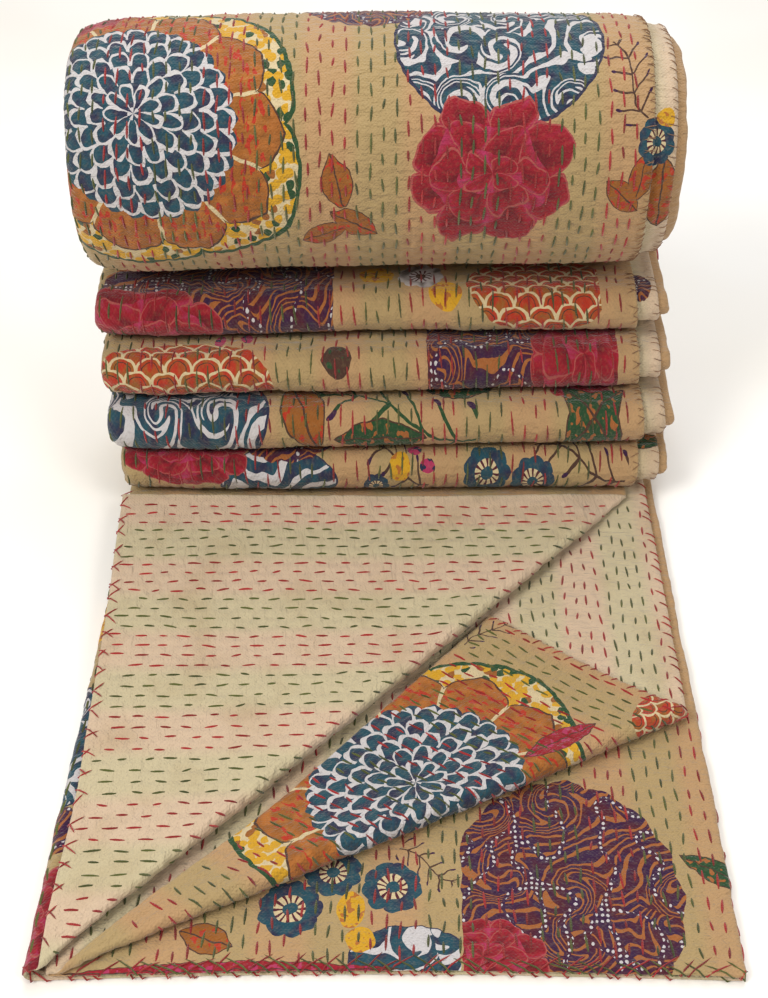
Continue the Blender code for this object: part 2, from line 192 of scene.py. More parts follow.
# The print and the threads
DRAWN_WOBBLE = 2.6  # mm by which a motif's lines stray
WEAVE_PITCH = 2.4  # mm, over two threads
DYES = (
    ("plain_greenish", "BDB08F", "The plain side along the green rows"),
    ("plain_pinkish", "C6AE94", "The plain side along the red rows"),
    ("printed_greenish", "A58D62", "The printed side's ground along the green rows"),
    ("printed_pinkish", "AE8B63", "The printed side's ground along the red rows"),
    ("soiled", "9E865F", "Darker places of the cloth"),
    ("cream", "C6B48D", "Rims and gaps"),
    ("white", "BFBBBC", "Waves, scale rims and dots"),
    ("grey", "5E5754", "Small rosettes"),
    ("teal", "1B4654", "Scales, waves and small flowers"),
    ("navy", "252842", "Runs in the teal"),
    ("purple", "34143A", "Dotted patches"),
    ("maroon", "4A1426", "Runs in the dotted patches"),
    ("tan", "985A2C", "Lines in the dotted patches"),
    ("crimson", "8E1324", "Large flowers"),
    ("dark_crimson", "620D1A", "Shade in the large flowers"),
    ("magenta", "A42F56", "Light in the large flowers"),
    ("rose", "9E4A46", "Petal rims"),
    ("brown", "8E5520", "Broad petals and leaves"),
    ("orange", "A66429", "Runs in the broad petals"),
    ("red", "A8301A", "Marks and fans of scales"),
    ("yellow", "C4941E", "Mosaic and small spots"),
    ("green", "1F4426", "Outlines, vines and leaves"),
    ("dark_brown", "462E24", "Fine lines"),
    ("thread_red", "A8292A", "Red thread"),
    ("thread_dark_red", "7E201D", "Red thread, dyed deeper"),
    ("thread_green", "5A602C", "Green thread"),
    ("thread_dark_green", "404622", "Green thread, dyed deeper"),
    ("thread_brown", "8A6242", "Brown thread"),
    ("thread_dark_brown", "6E4A32", "Brown thread, dyed deeper"),
    ("paper", "FFFEFC", "The studio floor"),
)
WHOLE = 9  # a patch that isn't cut off
FRONT_PRINT = (
    # kind, u and v of its middle in mm, half width and half height in mm, turn in degrees, straight cut at
    # this share of its half width
    ("medallion", 1365, 62, 116, 116, 36, WHOLE),
    ("petal", 1442, 114, 27, 9, 21, WHOLE),
    ("fan", 1496, 152, 20, 16, 0, WHOLE),
    ("branch", 1497, 12, 22, 12, 10, WHOLE),
    ("dots", 856, 48, 67, 80, 0, 0.88),
    ("peony", 903, 10, 34, 24, 0, 0.35),
    ("daisy", 1011, 39, 18.5, 18.5, 0, WHOLE),
    ("daisy", 988, 63, 17, 17, 20, WHOLE),
    ("daisy", 954, 53, 17.5, 17.5, 10, WHOLE),
    ("branch", 934, 68, 20, 12, -150, WHOLE),
    ("yellow", 977, 38, 8, 12, 0, WHOLE),
    ("yellow", 971, 19, 8, 8, 0, WHOLE),
    ("brown leaf", 1056, 21, 16, 10, 20, WHOLE),
    ("petal", 1040, 2, 92, 5, 0, WHOLE),
    ("waves", 944, 8, 34, 20, 180, 0.82),
    ("green leaf", 768, 64, 24, 8, 30, WHOLE),
    ("waves", 372, 148, 34, 46, 0, WHOLE),
    ("dots", 370, 88, 22, 17, 0, WHOLE),
    ("green leaf", 372, 318, 42, 20, 90, WHOLE),
    ("peony", 366, 30, 24, 42, 0, WHOLE),
    ("yellow", 372, 250, 14, 22, 0, WHOLE),
)
PLEAT_PRINT = (
    ("dots", 275, 1236, 92, 60, 180, 0.75),
    ("peony", 335, 1214, 62, 27, 0, WHOLE),
    ("yellow", 177, 1249, 12, 8, 0, WHOLE),
    ("rosette", 147, 1248, 16, 13, 0, WHOLE),
    ("yellow", 131, 1233, 11, 9, 0, WHOLE),
    ("broad fan", 66, 1240, 50, 27, 180, 0.8),
    ("broad fan", 312, 1042, 62, 29, 0, WHOLE),
    ("bud", 268, 1074, 4, 5, 0, WHOLE),
    ("bud", 286, 1073, 4, 5, 0, WHOLE),
    ("dark leaf", 207, 1056, 11, 8, 0, WHOLE),
    ("dots", 100, 1062, 80, 60, 0, 0.575),
    ("peony", 42, 1058, 34, 44, 180, 0.76),
    ("waves", 320, 852, 64, 40, 0, WHOLE),
    ("brown leaf", 234, 852, 26, 15, 70, WHOLE),
    ("vine", 172, 848, 58, 25, 10, WHOLE),
    ("green leaf", 128, 868, 28, 13, 0, WHOLE),
    ("green leaf", 182, 836, 32, 8, 0, WHOLE),
    ("peony", 42, 868, 24, 14, 180, 1.2),
    ("green leaf", 36, 845, 30, 14, 48, WHOLE),
    ("green leaf", 36, 845, 30, 14, -42, WHOLE),
    ("peony", 322, 618, 46, 17, 0, WHOLE),
    ("dots", 250, 628, 38, 16, 0, WHOLE),
    ("waves", 256, 603, 42, 16, 0, WHOLE),
    ("branch", 172, 612, 26, 18, 20, WHOLE),
    ("daisy", 187, 600, 10, 8, 0, WHOLE),
    ("yellow", 170, 610, 7, 7, 0, WHOLE),
    ("bud", 160, 618, 5, 3, 0, WHOLE),
    ("bud", 151, 610, 5, 3, 0, WHOLE),
    ("daisy", 109, 606, 17, 13, 0, WHOLE),
    ("daisy", 76, 602, 16, 12, 0, WHOLE),
    ("branch", 42, 611, 34, 18, 10, WHOLE),
    ("medallion", 480, 482, 90, 90, 0, WHOLE),
    ("peony", 640, 490, 50, 45, 0, WHOLE),
    ("waves", 450, 735, 60, 50, 0, WHOLE),
    ("daisy", 560, 735, 17, 17, 0, WHOLE),
    ("daisy", 592, 745, 17, 17, 0, WHOLE),
    ("broad fan", 690, 730, 50, 30, 0, WHOLE),
    ("dots", 520, 960, 70, 50, 0, WHOLE),
    ("peony", 650, 960, 50, 40, 0, WHOLE),
    ("green leaf", 430, 955, 30, 14, 30, WHOLE),
    ("broad fan", 450, 1155, 50, 30, 0, WHOLE),
    ("waves", 610, 1150, 60, 50, 0, WHOLE),
)
ROLL_PRINT = (
    ("medallion", 322, 1487, 116, 98, 36, WHOLE),
    ("waves", 97, 1532, 66, 58, 0, WHOLE),
    ("peony", 104, 1451, 54, 46, 0, WHOLE),
    ("dots", 178, 1588, 44, 42, 0, WHOLE),
    ("peony", 356, 1590, 42, 40, 0, WHOLE),
    ("brown leaf", 198, 1447, 17, 10, 75, WHOLE),
    ("brown leaf", 188, 1421, 17, 9, 30, WHOLE),
    ("brown leaf", 207, 1413, 16, 8, -20, WHOLE),
    ("brown leaf", 19, 1437, 15, 8, 42, WHOLE),
    ("brown leaf", 8, 1448, 15, 8, 100, WHOLE),
    ("daisy", 0, 1468, 12, 15, 0, WHOLE),
    ("branch", 16, 1505, 26, 18, 60, WHOLE),
    ("peony", 250, 1640, 50, 48, 0, WHOLE),
    ("waves", 120, 1700, 55, 50, 0, WHOLE),
    ("medallion", 330, 1760, 100, 95, 0, WHOLE),
    ("fan", 60, 1625, 42, 27, 0, WHOLE),
    ("daisy", 185, 1672, 16, 16, 0, WHOLE),
    ("daisy", 168, 1640, 15, 15, 0, WHOLE),
    ("dots", 200, 1780, 45, 50, 0, WHOLE),
    ("brown leaf", 40, 1760, 30, 14, 30, WHOLE),
    ("medallion", 560, 1320, 90, 80, 0, WHOLE),
    ("peony", 430, 1310, 40, 40, 0, WHOLE),
    ("daisy", 690, 1320, 17, 17, 0, WHOLE),
)
PLAIN_PRINT = (
    # patches that show past the top ply's hem, at the stack's right end
    ("daisy", 1496, 1468, 12, 15, 0, WHOLE),
    ("yellow", 1502, 1482, 6, 6, 0, WHOLE),
    ("brown leaf", 1502, 1434, 26, 12, 90, WHOLE),
    ("dots", 1497, 1240, 9, 14, 0, WHOLE),
    ("green leaf", 1500, 624, 18, 7, 0, WHOLE),
)

# The stage
FLOOR_SIZE = 8.0
FLOOR_Z = -0.3 * MM
WORLD_STRENGTH = 0.19
LIGHTS = (
    # name, place, target, size, power, colour if not white
    ("left", (-1.2, -0.9, 1.6), (0, 0, 0.1), 0.8, 28, (1, 0.97, 0.92)),
    ("right", (1.2, -0.9, 1.6), (0, 0, 0.1), 0.8, 15, (1, 0.97, 0.92)),
    ("top", (0, 0, 2.0), (0, 0, 0.1), 0.9, 8),
    ("back", (0.1, 1.2, 1.9), (0, 0.1, 0.15), 1.4, 22),
)
SENSOR_HEIGHT = 36.0
PHOTO_HEIGHT = 998  # pixels, with the photo's width of 768
PHOTO_FOCAL = 1400  # pixels
CAMERA_PLACE = (-0.0042, -0.6274, 0.7297)
CAMERA_PITCH = math.radians(44.91)


# --- The folded cloth ---------------------------------------------------------------------------------


def strip_section():
    """The four plies seen from the front, as pieces of one line from the top ply's hem to the second's.

    A piece is (length, start x, start height, end x, end height, fold centre height or None), and a fold is
    a half circle. Heights are measured from the middle of the four plies.
    """
    top, inner = 1.5 * PLY_PITCH, 0.5 * PLY_PITCH
    left = -HALF_WIDTH + CLOTH_THICKNESS / 2 + top
    inner_left = left + INNER_FOLD_INSET - top
    right = HALF_WIDTH - CLOTH_THICKNESS / 2 - inner
    top_hem = HALF_WIDTH - TOP_HEM_INSET
    inner_hem = HALF_WIDTH - INNER_HEM_INSET
    return (
        (top_hem - left, top_hem, top, left, top, None),
        (math.pi * top, left, top, left, -top, 0.0),
        (right - left, left, -top, right, -top, None),
        (math.pi * inner, right, -top, right, -inner, -PLY_PITCH),
        (right - inner_left, right, -inner, inner_left, -inner, None),
        (math.pi * inner, inner_left, -inner, inner_left, inner, 0.0),
        (inner_hem - inner_left, inner_left, inner, inner_hem, inner, None),
    )


SECTION = strip_section()
PLY_1, OUTER_FOLD, PLY_4, RIGHT_FOLD, PLY_3, INNER_FOLD, PLY_2 = range(7)
SECTION_ENDS = tuple(np.cumsum([0.0] + [piece[0] for piece in SECTION]))
CLOTH_WIDTH = SECTION_ENDS[-1]
TOP_HEM_X, LEFT_X = SECTION[PLY_1][1], SECTION[PLY_1][3]
INNER_LEFT_X = SECTION[PLY_2][1]


def place_in_section(u):
    """x, height and the printed side's direction (x, height) of each point u across the cloth.

    A straight ply runs evenly from its start to its end. On a fold, the angle goes evenly from a quarter
    turn above the fold's centre to a quarter turn below it, or the other way.
    """
    x, height = np.zeros_like(u), np.zeros_like(u)
    side_x, side_h = np.zeros_like(u), np.zeros_like(u)
    for index, (length, x0, h0, x1, _, centre) in enumerate(SECTION):
        here = u >= SECTION_ENDS[index] if index else np.full(u.shape, True)
        share = ((u - SECTION_ENDS[index]) / length)[here]
        if centre is None:
            x[here] = x0 + (x1 - x0) * share
            height[here] = h0
            side_x[here] = 0
            side_h[here] = 1 if x1 < x0 else -1
            continue
        radius = abs(h0 - centre)
        outwards = 1 if index == RIGHT_FOLD else -1
        angle = math.copysign(math.pi / 2, h0 - centre) * (1 - 2 * share)
        x[here] = x0 + outwards * radius * np.cos(angle)
        height[here] = centre + radius * np.sin(angle)
        printed = -1 if index == INNER_FOLD else 1
        side_x[here] = printed * outwards * np.cos(angle)
        side_h[here] = printed * np.sin(angle)
    return x, height, side_x, side_h


def strip_path():
    """The strip's middle from the front edge to the end inside the roll: arrays of v, y, z and heading.

    It runs back along the floor and turns up and forward at the back and up and back at each nose: straight
    lines and half circles. Then it winds into the roll, a spiral whose radius shrinks by the turn pitch each
    turn, until the cloth's length is used. Also returns the v where each stretch ends.
    """
    turn = BAND_PITCH / 2
    y, z, heading = [np.array([0.0])], [np.array([BAND_HALF])], [np.array([0.0])]
    ends = []

    def add(new_y, new_z, new_heading):
        y.append(new_y)
        z.append(new_z)
        heading.append(new_heading)
        line_y, line_z = np.concatenate(y), np.concatenate(z)
        ends.append(float(np.hypot(np.diff(line_y), np.diff(line_z)).sum()))

    def go_straight(to_y):
        from_y, level = y[-1][-1], z[-1][-1]
        count = max(2, int(abs(to_y - from_y) / PATH_STEP))
        forwards = 0.0 if to_y > from_y else math.pi
        add(np.linspace(from_y, to_y, count + 1)[1:], np.full(count, level), np.full(count, forwards))

    def turn_up(direction):
        count = int(math.pi * turn / PATH_STEP)
        angle = np.linspace(0, math.pi, count + 1)[1:]
        centre_y, centre_z = y[-1][-1], z[-1][-1] + turn
        add(
            centre_y + direction * turn * np.sin(angle),
            centre_z - turn * np.cos(angle),
            angle if direction > 0 else math.pi - angle,
        )

    back = PLEAT_BACK - BAND_HALF - turn
    for nose in PLEAT_NOSES:
        go_straight(back)
        turn_up(1)
        go_straight(nose + BAND_HALF + turn)
        turn_up(-1)
    go_straight(back)
    turn_up(1)
    go_straight(ROLL_CENTRE_Y)

    outer = ROLL_RADIUS - BAND_HALF
    centre_z = z[-1][-1] + outer
    wound = np.arange(1, 4 * math.tau * outer / PATH_STEP) * PATH_STEP / outer
    radius = outer - ROLL_TURN_PITCH * wound / math.tau
    roll_y = ROLL_CENTRE_Y - radius * np.sin(wound)
    roll_z = centre_z - radius * np.cos(wound)
    steps = np.hypot(np.diff(roll_y, prepend=y[-1][-1]), np.diff(roll_z, prepend=z[-1][-1]))
    kept = ends[-1] + np.cumsum(steps) <= CLOTH_LENGTH
    add(roll_y[kept], roll_z[kept], math.pi - wound[kept])
    y, z, heading = np.concatenate(y), np.concatenate(z), np.concatenate(heading)
    v = np.concatenate([[0], np.cumsum(np.hypot(np.diff(y), np.diff(z)))])
    return v, y, z, heading, ends, centre_z


PATH_V, PATH_Y, PATH_Z, PATH_HEADING, STRETCH_ENDS, ROLL_CENTRE_Z = strip_path()
CLOTH_END = float(PATH_V[-1])
ROLL_START = STRETCH_ENDS[-2]


def smooth_step(value, start, end):
    """0 before start, 1 after end and an even S between them."""
    share = np.clip((value - start) / (end - start), 0, 1)
    return share * share * (3 - 2 * share)


def lumps(a, b, seed):
    """Smooth lumps from -1 to 1 about one unit of a and b wide: random heights at whole numbers of a and b,
    with an even S between neighbours."""
    table = np.random.default_rng(seed).uniform(-1, 1, LUMP_TABLE)
    a, b = np.broadcast_arrays(a, b)
    a0, b0 = np.floor(a).astype(int), np.floor(b).astype(int)
    fa, fb = smooth_step(a - a0, 0, 1), smooth_step(b - b0, 0, 1)

    def at(i, j):
        return table[(a0 + i) % LUMP_TABLE[0], (b0 + j) % LUMP_TABLE[1]]

    near = at(0, 0) * (1 - fa) + at(1, 0) * fa
    far = at(0, 1) * (1 - fa) + at(1, 1) * fa
    return near * (1 - fb) + far * fb


def soften(x, y, z, middle_y, middle_z):
    """Moves points of the ruled stack to where soft cloth lies.

    middle_y and middle_z are the strip's middle at each point, so that its four plies move together: the
    ends of each nose draw back, the stack's ends droop, the roll's ends taper, and the whole slips aside.
    Noses and roll are a little lumpy, and the laid-out front waves up off the floor, its top plies most.
    """
    across = np.clip(np.abs(x) / HALF_WIDTH, 0, 1)
    above = smooth_step(middle_z, LEANS_FROM, LEANS_ABOVE)
    from_centre = np.hypot(middle_y - ROLL_CENTRE_Y, middle_z - ROLL_CENTRE_Z)
    in_roll = smooth_step(-from_centre, -ROLL_RADIUS - BAND_HALF, -ROLL_RADIUS + BAND_HALF)
    in_roll = np.where(middle_z > ROLL_CENTRE_Z - ROLL_RADIUS, in_roll, 0)
    nose = 1 - smooth_step(middle_y, PLEAT_NOSES[-1], PLEAT_BACK - 2 * BAND_HALF)
    recess = NOSE_END_RECESS * across**NOSE_END_POWER * above * nose * (1 - in_roll)
    wave = NOSE_WAVE * lumps(x / (85 * MM), middle_z / (16 * MM), 11)
    recess = recess + wave * nose * smooth_step(middle_z, 20 * MM, 40 * MM) * (1 - in_roll)
    roll_top = smooth_step(middle_z, ROLL_CENTRE_Z - ROLL_RADIUS / 2, ROLL_CENTRE_Z + ROLL_RADIUS / 2)
    droop = END_DROOP * across**2 * smooth_step(middle_z, DROOPS_FROM, DROOPS_ABOVE)
    droop = droop * (1 - (1 - ROLL_TOP_DROOP) * roll_top)
    angle = np.arctan2(middle_y - ROLL_CENTRE_Y, middle_z - ROLL_CENTRE_Z)
    lump = ROLL_WAVE * lumps(x / (110 * MM), np.sin(angle) * 1.7, 12) * np.cos(angle / 2) ** 2
    taper = (ROLL_END_TAPER * across ** np.where(x < 0, *ROLL_END_POWERS) - lump) * in_roll
    on_floor = 1 - smooth_step(middle_z, LEANS_FROM, DROOPS_FROM)
    bow = FRONT_BOW * (1 - across**2) * (1 - smooth_step(y, 0, FRONT_BOW_DEPTH)) * on_floor
    leftwards = 0.5 - 0.5 * x / HALF_WIDTH
    edge = np.interp(y, *zip(*LEFT_EDGE_ROWS)) * leftwards * on_floor
    height_share = np.clip(z / (2 * BAND_HALF), 0, 1.5)
    lying = on_floor * (1 - smooth_step(y, 300 * MM, 350 * MM))
    swell = FRONT_WAVE * (0.5 + 0.5 * lumps(x / (75 * MM) + y / (150 * MM), y / (90 * MM), 13))
    heights, slips, widths = zip(*STACK_ROWS)
    slip = np.interp(middle_z, heights, slips)
    width = np.interp(middle_z, heights, widths)
    skew = STACK_SKEW * x / HALF_WIDTH * above
    return (
        x * width + slip + edge,
        y + recess + bow + skew - taper * (middle_y - ROLL_CENTRE_Y),
        z - droop - taper * (middle_z - ROLL_CENTRE_Z) + swell * height_share * lying,
    )


def turn_back(x, y, level, side, corner_x, angle, radius, lie, stretch):
    """Turns the cloth beyond a diagonal crease back over itself.

    The crease leaves the point (corner_x, 0) at angle. A point at a distance beyond it first goes round the
    crease, and past half a turn it lies flat again, on the other side, and settles down to lie. Returns the
    points and the printed side's direction.
    """
    along = (x - corner_x) * math.cos(angle) + y * math.sin(angle)
    beyond = (x - corner_x) * math.sin(angle) - y * math.cos(angle)
    bent = np.clip(beyond / radius, 0, math.pi)
    past = np.clip(beyond - math.pi * radius, 0, None)
    out = np.where(beyond > 0, radius * np.sin(bent) - past * stretch, beyond)
    rise = radius * (1 - np.cos(bent)) + (lie - 2 * radius) * (past > 0) * (1 - np.exp(-past / FLAP_SETTLE))
    new_x = corner_x + along * math.cos(angle) + out * math.sin(angle)
    new_y = along * math.sin(angle) - out * math.cos(angle)
    normal_out, normal_z = -side * np.sin(bent), side * np.cos(bent)
    normal = (normal_out * math.sin(angle), -normal_out * math.cos(angle), normal_z)
    return new_x, new_y, level + rise, normal


def crease_radius(along, full, length):
    """The radius of a turned-back corner's crease: tight at the corner, full after length."""
    return CORNER_RADIUS + (full - CORNER_RADIUS) * smooth_step(along, 0, length)


def top_crease_radius(along):
    """Of the top ply's crease, which is pressed down again where it runs under the lowest pleat."""
    end = PLEAT_NOSES[0] / math.sin(TOP_CREASE_ANGLE)
    radius = crease_radius(along, TOP_CREASE_RADIUS, TOP_CREASE_GROWTH)
    return radius + (TOP_FLAP_LIE / 2 - radius) * smooth_step(along, end - PRESSED_FROM, end - PRESSED_TO)


def inner_crease_radius(along):
    return crease_radius(along, INNER_CREASE_RADIUS, INNER_CREASE_GROWTH)


def folded(u, v, e):
    """The folded place of each point of the flat cloth, any shape of arrays, as (..., 3).

    The strip's cross-section gives x and height at u, the strip's path gives its middle and heading at v,
    and e is added along the printed side's direction. Near the front, the two top plies are turned back
    along their creases, and in the end everything is softened.
    """
    u, v, e = np.broadcast_arrays(u, v, e)
    x, height, side_x, side_h = place_in_section(u)
    middle_y = np.interp(v, PATH_V, PATH_Y)
    middle_z = np.interp(v, PATH_V, PATH_Z)
    heading = np.interp(v, PATH_V, PATH_HEADING)
    rise = height + e * side_h
    beyond_end = np.clip(v, None, 0) + np.clip(v - CLOTH_END, 0, None)
    point = [
        x + e * side_x,
        middle_y - rise * np.sin(heading) + beyond_end * np.cos(heading),
        middle_z + rise * np.cos(heading) + beyond_end * np.sin(heading),
    ]
    in_front = v <= FRONT_END
    lift = TOP_PLY_LIFT * smooth_step(x, LEFT_X, LEFT_X + LIFT_RUN)
    lift = lift * (1 - smooth_step(v, PLEAT_NOSES[0] - LIFT_ENDS_FROM, PLEAT_NOSES[0] - LIFT_ENDS_AT))
    for here, corner_x, angle, radius_at, lie, stretch, lifted in (
        (in_front & (u <= SECTION_ENDS[OUTER_FOLD]), LEFT_X, TOP_CREASE_ANGLE,
         top_crease_radius, TOP_FLAP_LIE, TOP_FLAP_STRETCH, lift),
        (in_front & (u >= SECTION_ENDS[PLY_2]), INNER_LEFT_X, INNER_CREASE_ANGLE,
         inner_crease_radius, INNER_FLAP_LIE, INNER_FLAP_STRETCH, 0.0),
    ):
        along = (x - corner_x) * math.cos(angle) + v * math.sin(angle)
        *turned, side = turn_back(
            x, v, middle_z + height + lifted, side_h, corner_x, angle, radius_at(along), lie, stretch
        )
        for axis in range(3):
            point[axis] = np.where(here, turned[axis] + e * side[axis], point[axis])
    x, y, z = soften(*point, middle_y, middle_z)
    return np.stack([x - ORIGIN_X, y - ORIGIN_Y, np.maximum(z, 0)], axis=-1)


# --- The cloth's surface ------------------------------------------------------------------------------


def row_wander(u, v):
    """How far a row of stitches strays sideways from its ruled line at each point."""
    return ROW_WANDER * lumps(u / (60 * MM), v / (95 * MM), 21)


def row_place(u, v):
    """How many stitch rows lie between u and the cloth's first hem: the rows wander a little as they run."""
    cloth = bpy.context.scene.quilt_cloth
    return (u + row_wander(u, v)) / cloth.row_pitch


def relief(u, v):
    """How far the cloth is pulled thin at each point, and how far both its sides stand off their middle.

    Each row of stitches pulls a narrow valley, a cosine to the power 4, deeper at some stitches than others.
    Between rows the cloth puckers in short lumps across the rows, and it creases softly at a larger scale.
    The two together stop softly at a limit, as a hyperbolic tangent, so that facing plies don't meet.
    """
    cloth = bpy.context.scene.quilt_cloth
    row = row_place(u, v)
    pull = 0.72 + 0.28 * lumps(np.floor(row), v / (7 * MM), 22)
    valley = cloth.pucker_depth * pull * np.cos(math.pi * (row - 0.5)) ** 4
    pucker = PUCKER_HEIGHT * lumps(row * 1.3, v / (6 * MM), 23)
    crease = CREASE_HEIGHT * lumps(u / (23 * MM), v / (15 * MM), 24)
    crease = crease + SWELL_HEIGHT * lumps(u / (60 * MM), v / (34 * MM), 25)
    return valley, RELIEF_LIMIT * np.tanh((pucker + crease) / RELIEF_LIMIT)


def half_thickness(u, v):
    """Half the cloth's thickness, rounded to nothing over the last millimetres before each of its four
    edges and a little thicker behind them, where the hem is turned in."""
    edge = np.minimum(np.minimum(u, CLOTH_WIDTH - u), np.minimum(v, CLOTH_END - v))
    edge = np.clip(edge, 0, None)
    rounding = np.sqrt(np.clip(1 - (1 - np.clip(edge / HEM_ROUNDING, 0, 1)) ** 2, 0.01, 1))
    turned_in = 0.35 * MM * np.exp(-(((edge - 4 * MM) / (2.5 * MM)) ** 2))
    return (CLOTH_THICKNESS / 2 + turned_in) * rounding


def surface_height(u, v, side):
    """e of the cloth's surface: side is 1 on the printed side and -1 on the plain one."""
    valley, offset = relief(u, v)
    half = half_thickness(u, v)
    fade = np.clip(half / (CLOTH_THICKNESS / 2), 0, 1)
    return side * (half - valley * fade) + offset


def stations(start, end, step):
    """Even values from start to end, no further apart than step."""
    return np.linspace(start, end, max(1, int(math.ceil((end - start) / step - 1e-6))) + 1)


def across_piece(index, step, hem_start=False, hem_end=False):
    """Values of u over one piece of the section, with closer ones by a hem, where the edge is rounded."""
    start, end = SECTION_ENDS[index], SECTION_ENDS[index + 1]
    values = stations(start, end, step)
    near = np.array(HEM_STATIONS)
    if hem_start:
        values = np.concatenate([start + near, values[values > start + near[-1] + step / 3]])
    if hem_end:
        values = np.concatenate([values[values < end - near[-1] - step / 3], (end - near)[::-1]])
    return values


def grid(u, v):
    """Two lists as the flat corners of a grid."""
    return np.meshgrid(u, v, indexing="ij")


def crease_grid(u, x, corner_x, angle, radius_at, v_end, counts):
    """The flat corners of a ply that is turned back along a crease: in each column, the stations run evenly
    from the front edge to the crease, round it and on to v_end, counts of them in each stretch."""
    beyond, band, behind = counts
    crease = np.clip((x - corner_x) * math.tan(angle), 0, None)
    along = (x - corner_x) * math.cos(angle) + crease * math.sin(angle)
    width = math.pi * radius_at(along) / math.cos(angle)
    turned = np.clip(crease - width, 0, None)
    ends = [np.zeros_like(turned), turned, crease, np.full_like(turned, v_end)]
    rows = []
    for start, end, count in zip(ends, ends[1:], (beyond, band, behind)):
        shares = np.unique(np.concatenate([np.array(EDGE_SHARES), np.arange(1, count)])) / count
        rows.append(start[:, None] + (end - start)[:, None] * shares[None, :])
    v = np.concatenate([*rows, ends[-1][:, None]], axis=1)
    return np.repeat(u[:, None], v.shape[1], axis=1), v


def joined(blocks):
    """Flat corners and four-cornered cells of several grids: corners in the same place become one."""
    corners, cells, start = [], [], 0
    for u, v in blocks:
        ids = start + np.arange(u.size).reshape(u.shape)
        corners.append(np.stack([u.ravel(), v.ravel()], axis=1))
        cell = np.stack([ids[:-1, :-1], ids[1:, :-1], ids[1:, 1:], ids[:-1, 1:]], axis=-1)
        cells.append(cell.reshape(-1, 4))
        start += u.size
    corners = np.concatenate(corners)
    keys = np.round(corners / (0.01 * MM)).astype(np.int64)
    _, first, same = np.unique(keys, axis=0, return_index=True, return_inverse=True)
    return corners[first], same.reshape(-1)[np.concatenate(cells)]


def triangles_of(cells):
    """Each cell as two triangles, without those that have shrunk to a line."""
    both = np.concatenate([cells[:, [0, 1, 2]], cells[:, [0, 2, 3]]])
    a, b, c = both.T
    return both[(a != b) & (b != c) & (c != a)]


def rim_of(triangles, count):
    """The edges that only one triangle has, in that triangle's direction."""
    edges = np.concatenate([triangles[:, [k, (k + 1) % 3]] for k in range(3)]).astype(np.int64)
    forward = edges[:, 0] * count + edges[:, 1]
    backward = edges[:, 1] * count + edges[:, 0]
    return edges[~np.isin(forward, backward)]


def new_object(name, points, triangles, materials, material_index=None, cloth_places=None):
    """A mesh object from arrays: its corners, its triangles, which material each has, and the place on the
    flat cloth of each corner, as a UV map in metres."""
    mesh = bpy.data.meshes.new(name)
    mesh.vertices.add(len(points))
    mesh.vertices.foreach_set("co", np.ascontiguousarray(points, np.float32).ravel())
    mesh.loops.add(triangles.size)
    mesh.loops.foreach_set("vertex_index", np.ascontiguousarray(triangles, np.int32).ravel())
    mesh.polygons.add(len(triangles))
    mesh.polygons.foreach_set("loop_start", np.arange(0, triangles.size, 3, dtype=np.int32))
    for material in materials:
        mesh.materials.append(material)
    if material_index is not None:
        mesh.polygons.foreach_set("material_index", np.ascontiguousarray(material_index, np.int32))
    if cloth_places is not None:
        layer = mesh.uv_layers.new(name=CLOTH_MAP)
        places = np.ascontiguousarray(cloth_places[triangles.ravel()], np.float32)
        layer.data.foreach_set("uv", places.ravel())
    mesh.update(calc_edges=True)
    mesh.validate()
    mesh.shade_smooth()
    mesh.set_sharp_from_angle(angle=SHARP_ANGLE)
    piece = bpy.data.objects.new(name, mesh)
    bpy.context.scene.collection.objects.link(piece)
    return piece


def cloth_piece(name, blocks, materials):
    """One closed stretch of the cloth: the blocks' corners at the height of the printed side and of the
    plain side, the one wound backwards, and a rim of faces between them."""
    corners, cells = joined(blocks)
    u, v = corners.T
    triangles = triangles_of(cells)
    count = len(corners)
    points = np.concatenate([folded(u, v, surface_height(u, v, side)) for side in (1, -1)])
    rim = rim_of(triangles, count)
    a, b = rim.T
    wall = np.concatenate([np.stack([a, b, b + count], 1), np.stack([a, b + count, a + count], 1)])
    faces = np.concatenate([triangles[:, ::-1], triangles + count, wall])
    index = np.concatenate([np.zeros(len(triangles)), np.ones(len(triangles) + len(wall))])
    piece = new_object(name, points, faces, materials, index, np.concatenate([corners, corners]))
    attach(piece, "root")
    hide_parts("quilt")
    return piece


# --- The pieces ---------------------------------------------------------------------------------------


def front_blocks(upper):
    """The laid-out front, cut in two along the middle of the lowest ply, where nothing shows: the upper
    piece has the top ply and the outer fold, the lower one has the rest."""
    fine = bpy.context.scene.quilt_cloth.row_pitch / 4
    middle = (SECTION_ENDS[PLY_4] + SECTION_ENDS[RIGHT_FOLD]) / 2
    if upper:
        u = across_piece(PLY_1, fine, hem_start=True)
        top = crease_grid(
            u, TOP_HEM_X - u, LEFT_X, TOP_CREASE_ANGLE, top_crease_radius, FRONT_END, CORNER_ROWS
        )
        below = np.concatenate([
            across_piece(OUTER_FOLD, FOLD_STEP), stations(SECTION_ENDS[PLY_4], middle, HIDDEN_STEP)
        ])
        return [top, grid(np.unique(below), top[1][-1])]
    u = across_piece(PLY_2, fine, hem_end=True)
    x = INNER_LEFT_X + u - u[0]
    second = crease_grid(
        u, x, INNER_LEFT_X, INNER_CREASE_ANGLE, inner_crease_radius, FRONT_END, INNER_CORNER_ROWS
    )
    rest = np.concatenate([
        stations(middle, SECTION_ENDS[RIGHT_FOLD], HIDDEN_STEP), across_piece(RIGHT_FOLD, FOLD_STEP / 2),
        across_piece(PLY_3, fine), across_piece(INNER_FOLD, FOLD_STEP / 2),
    ])
    return [grid(np.unique(rest), second[1][0]), second]


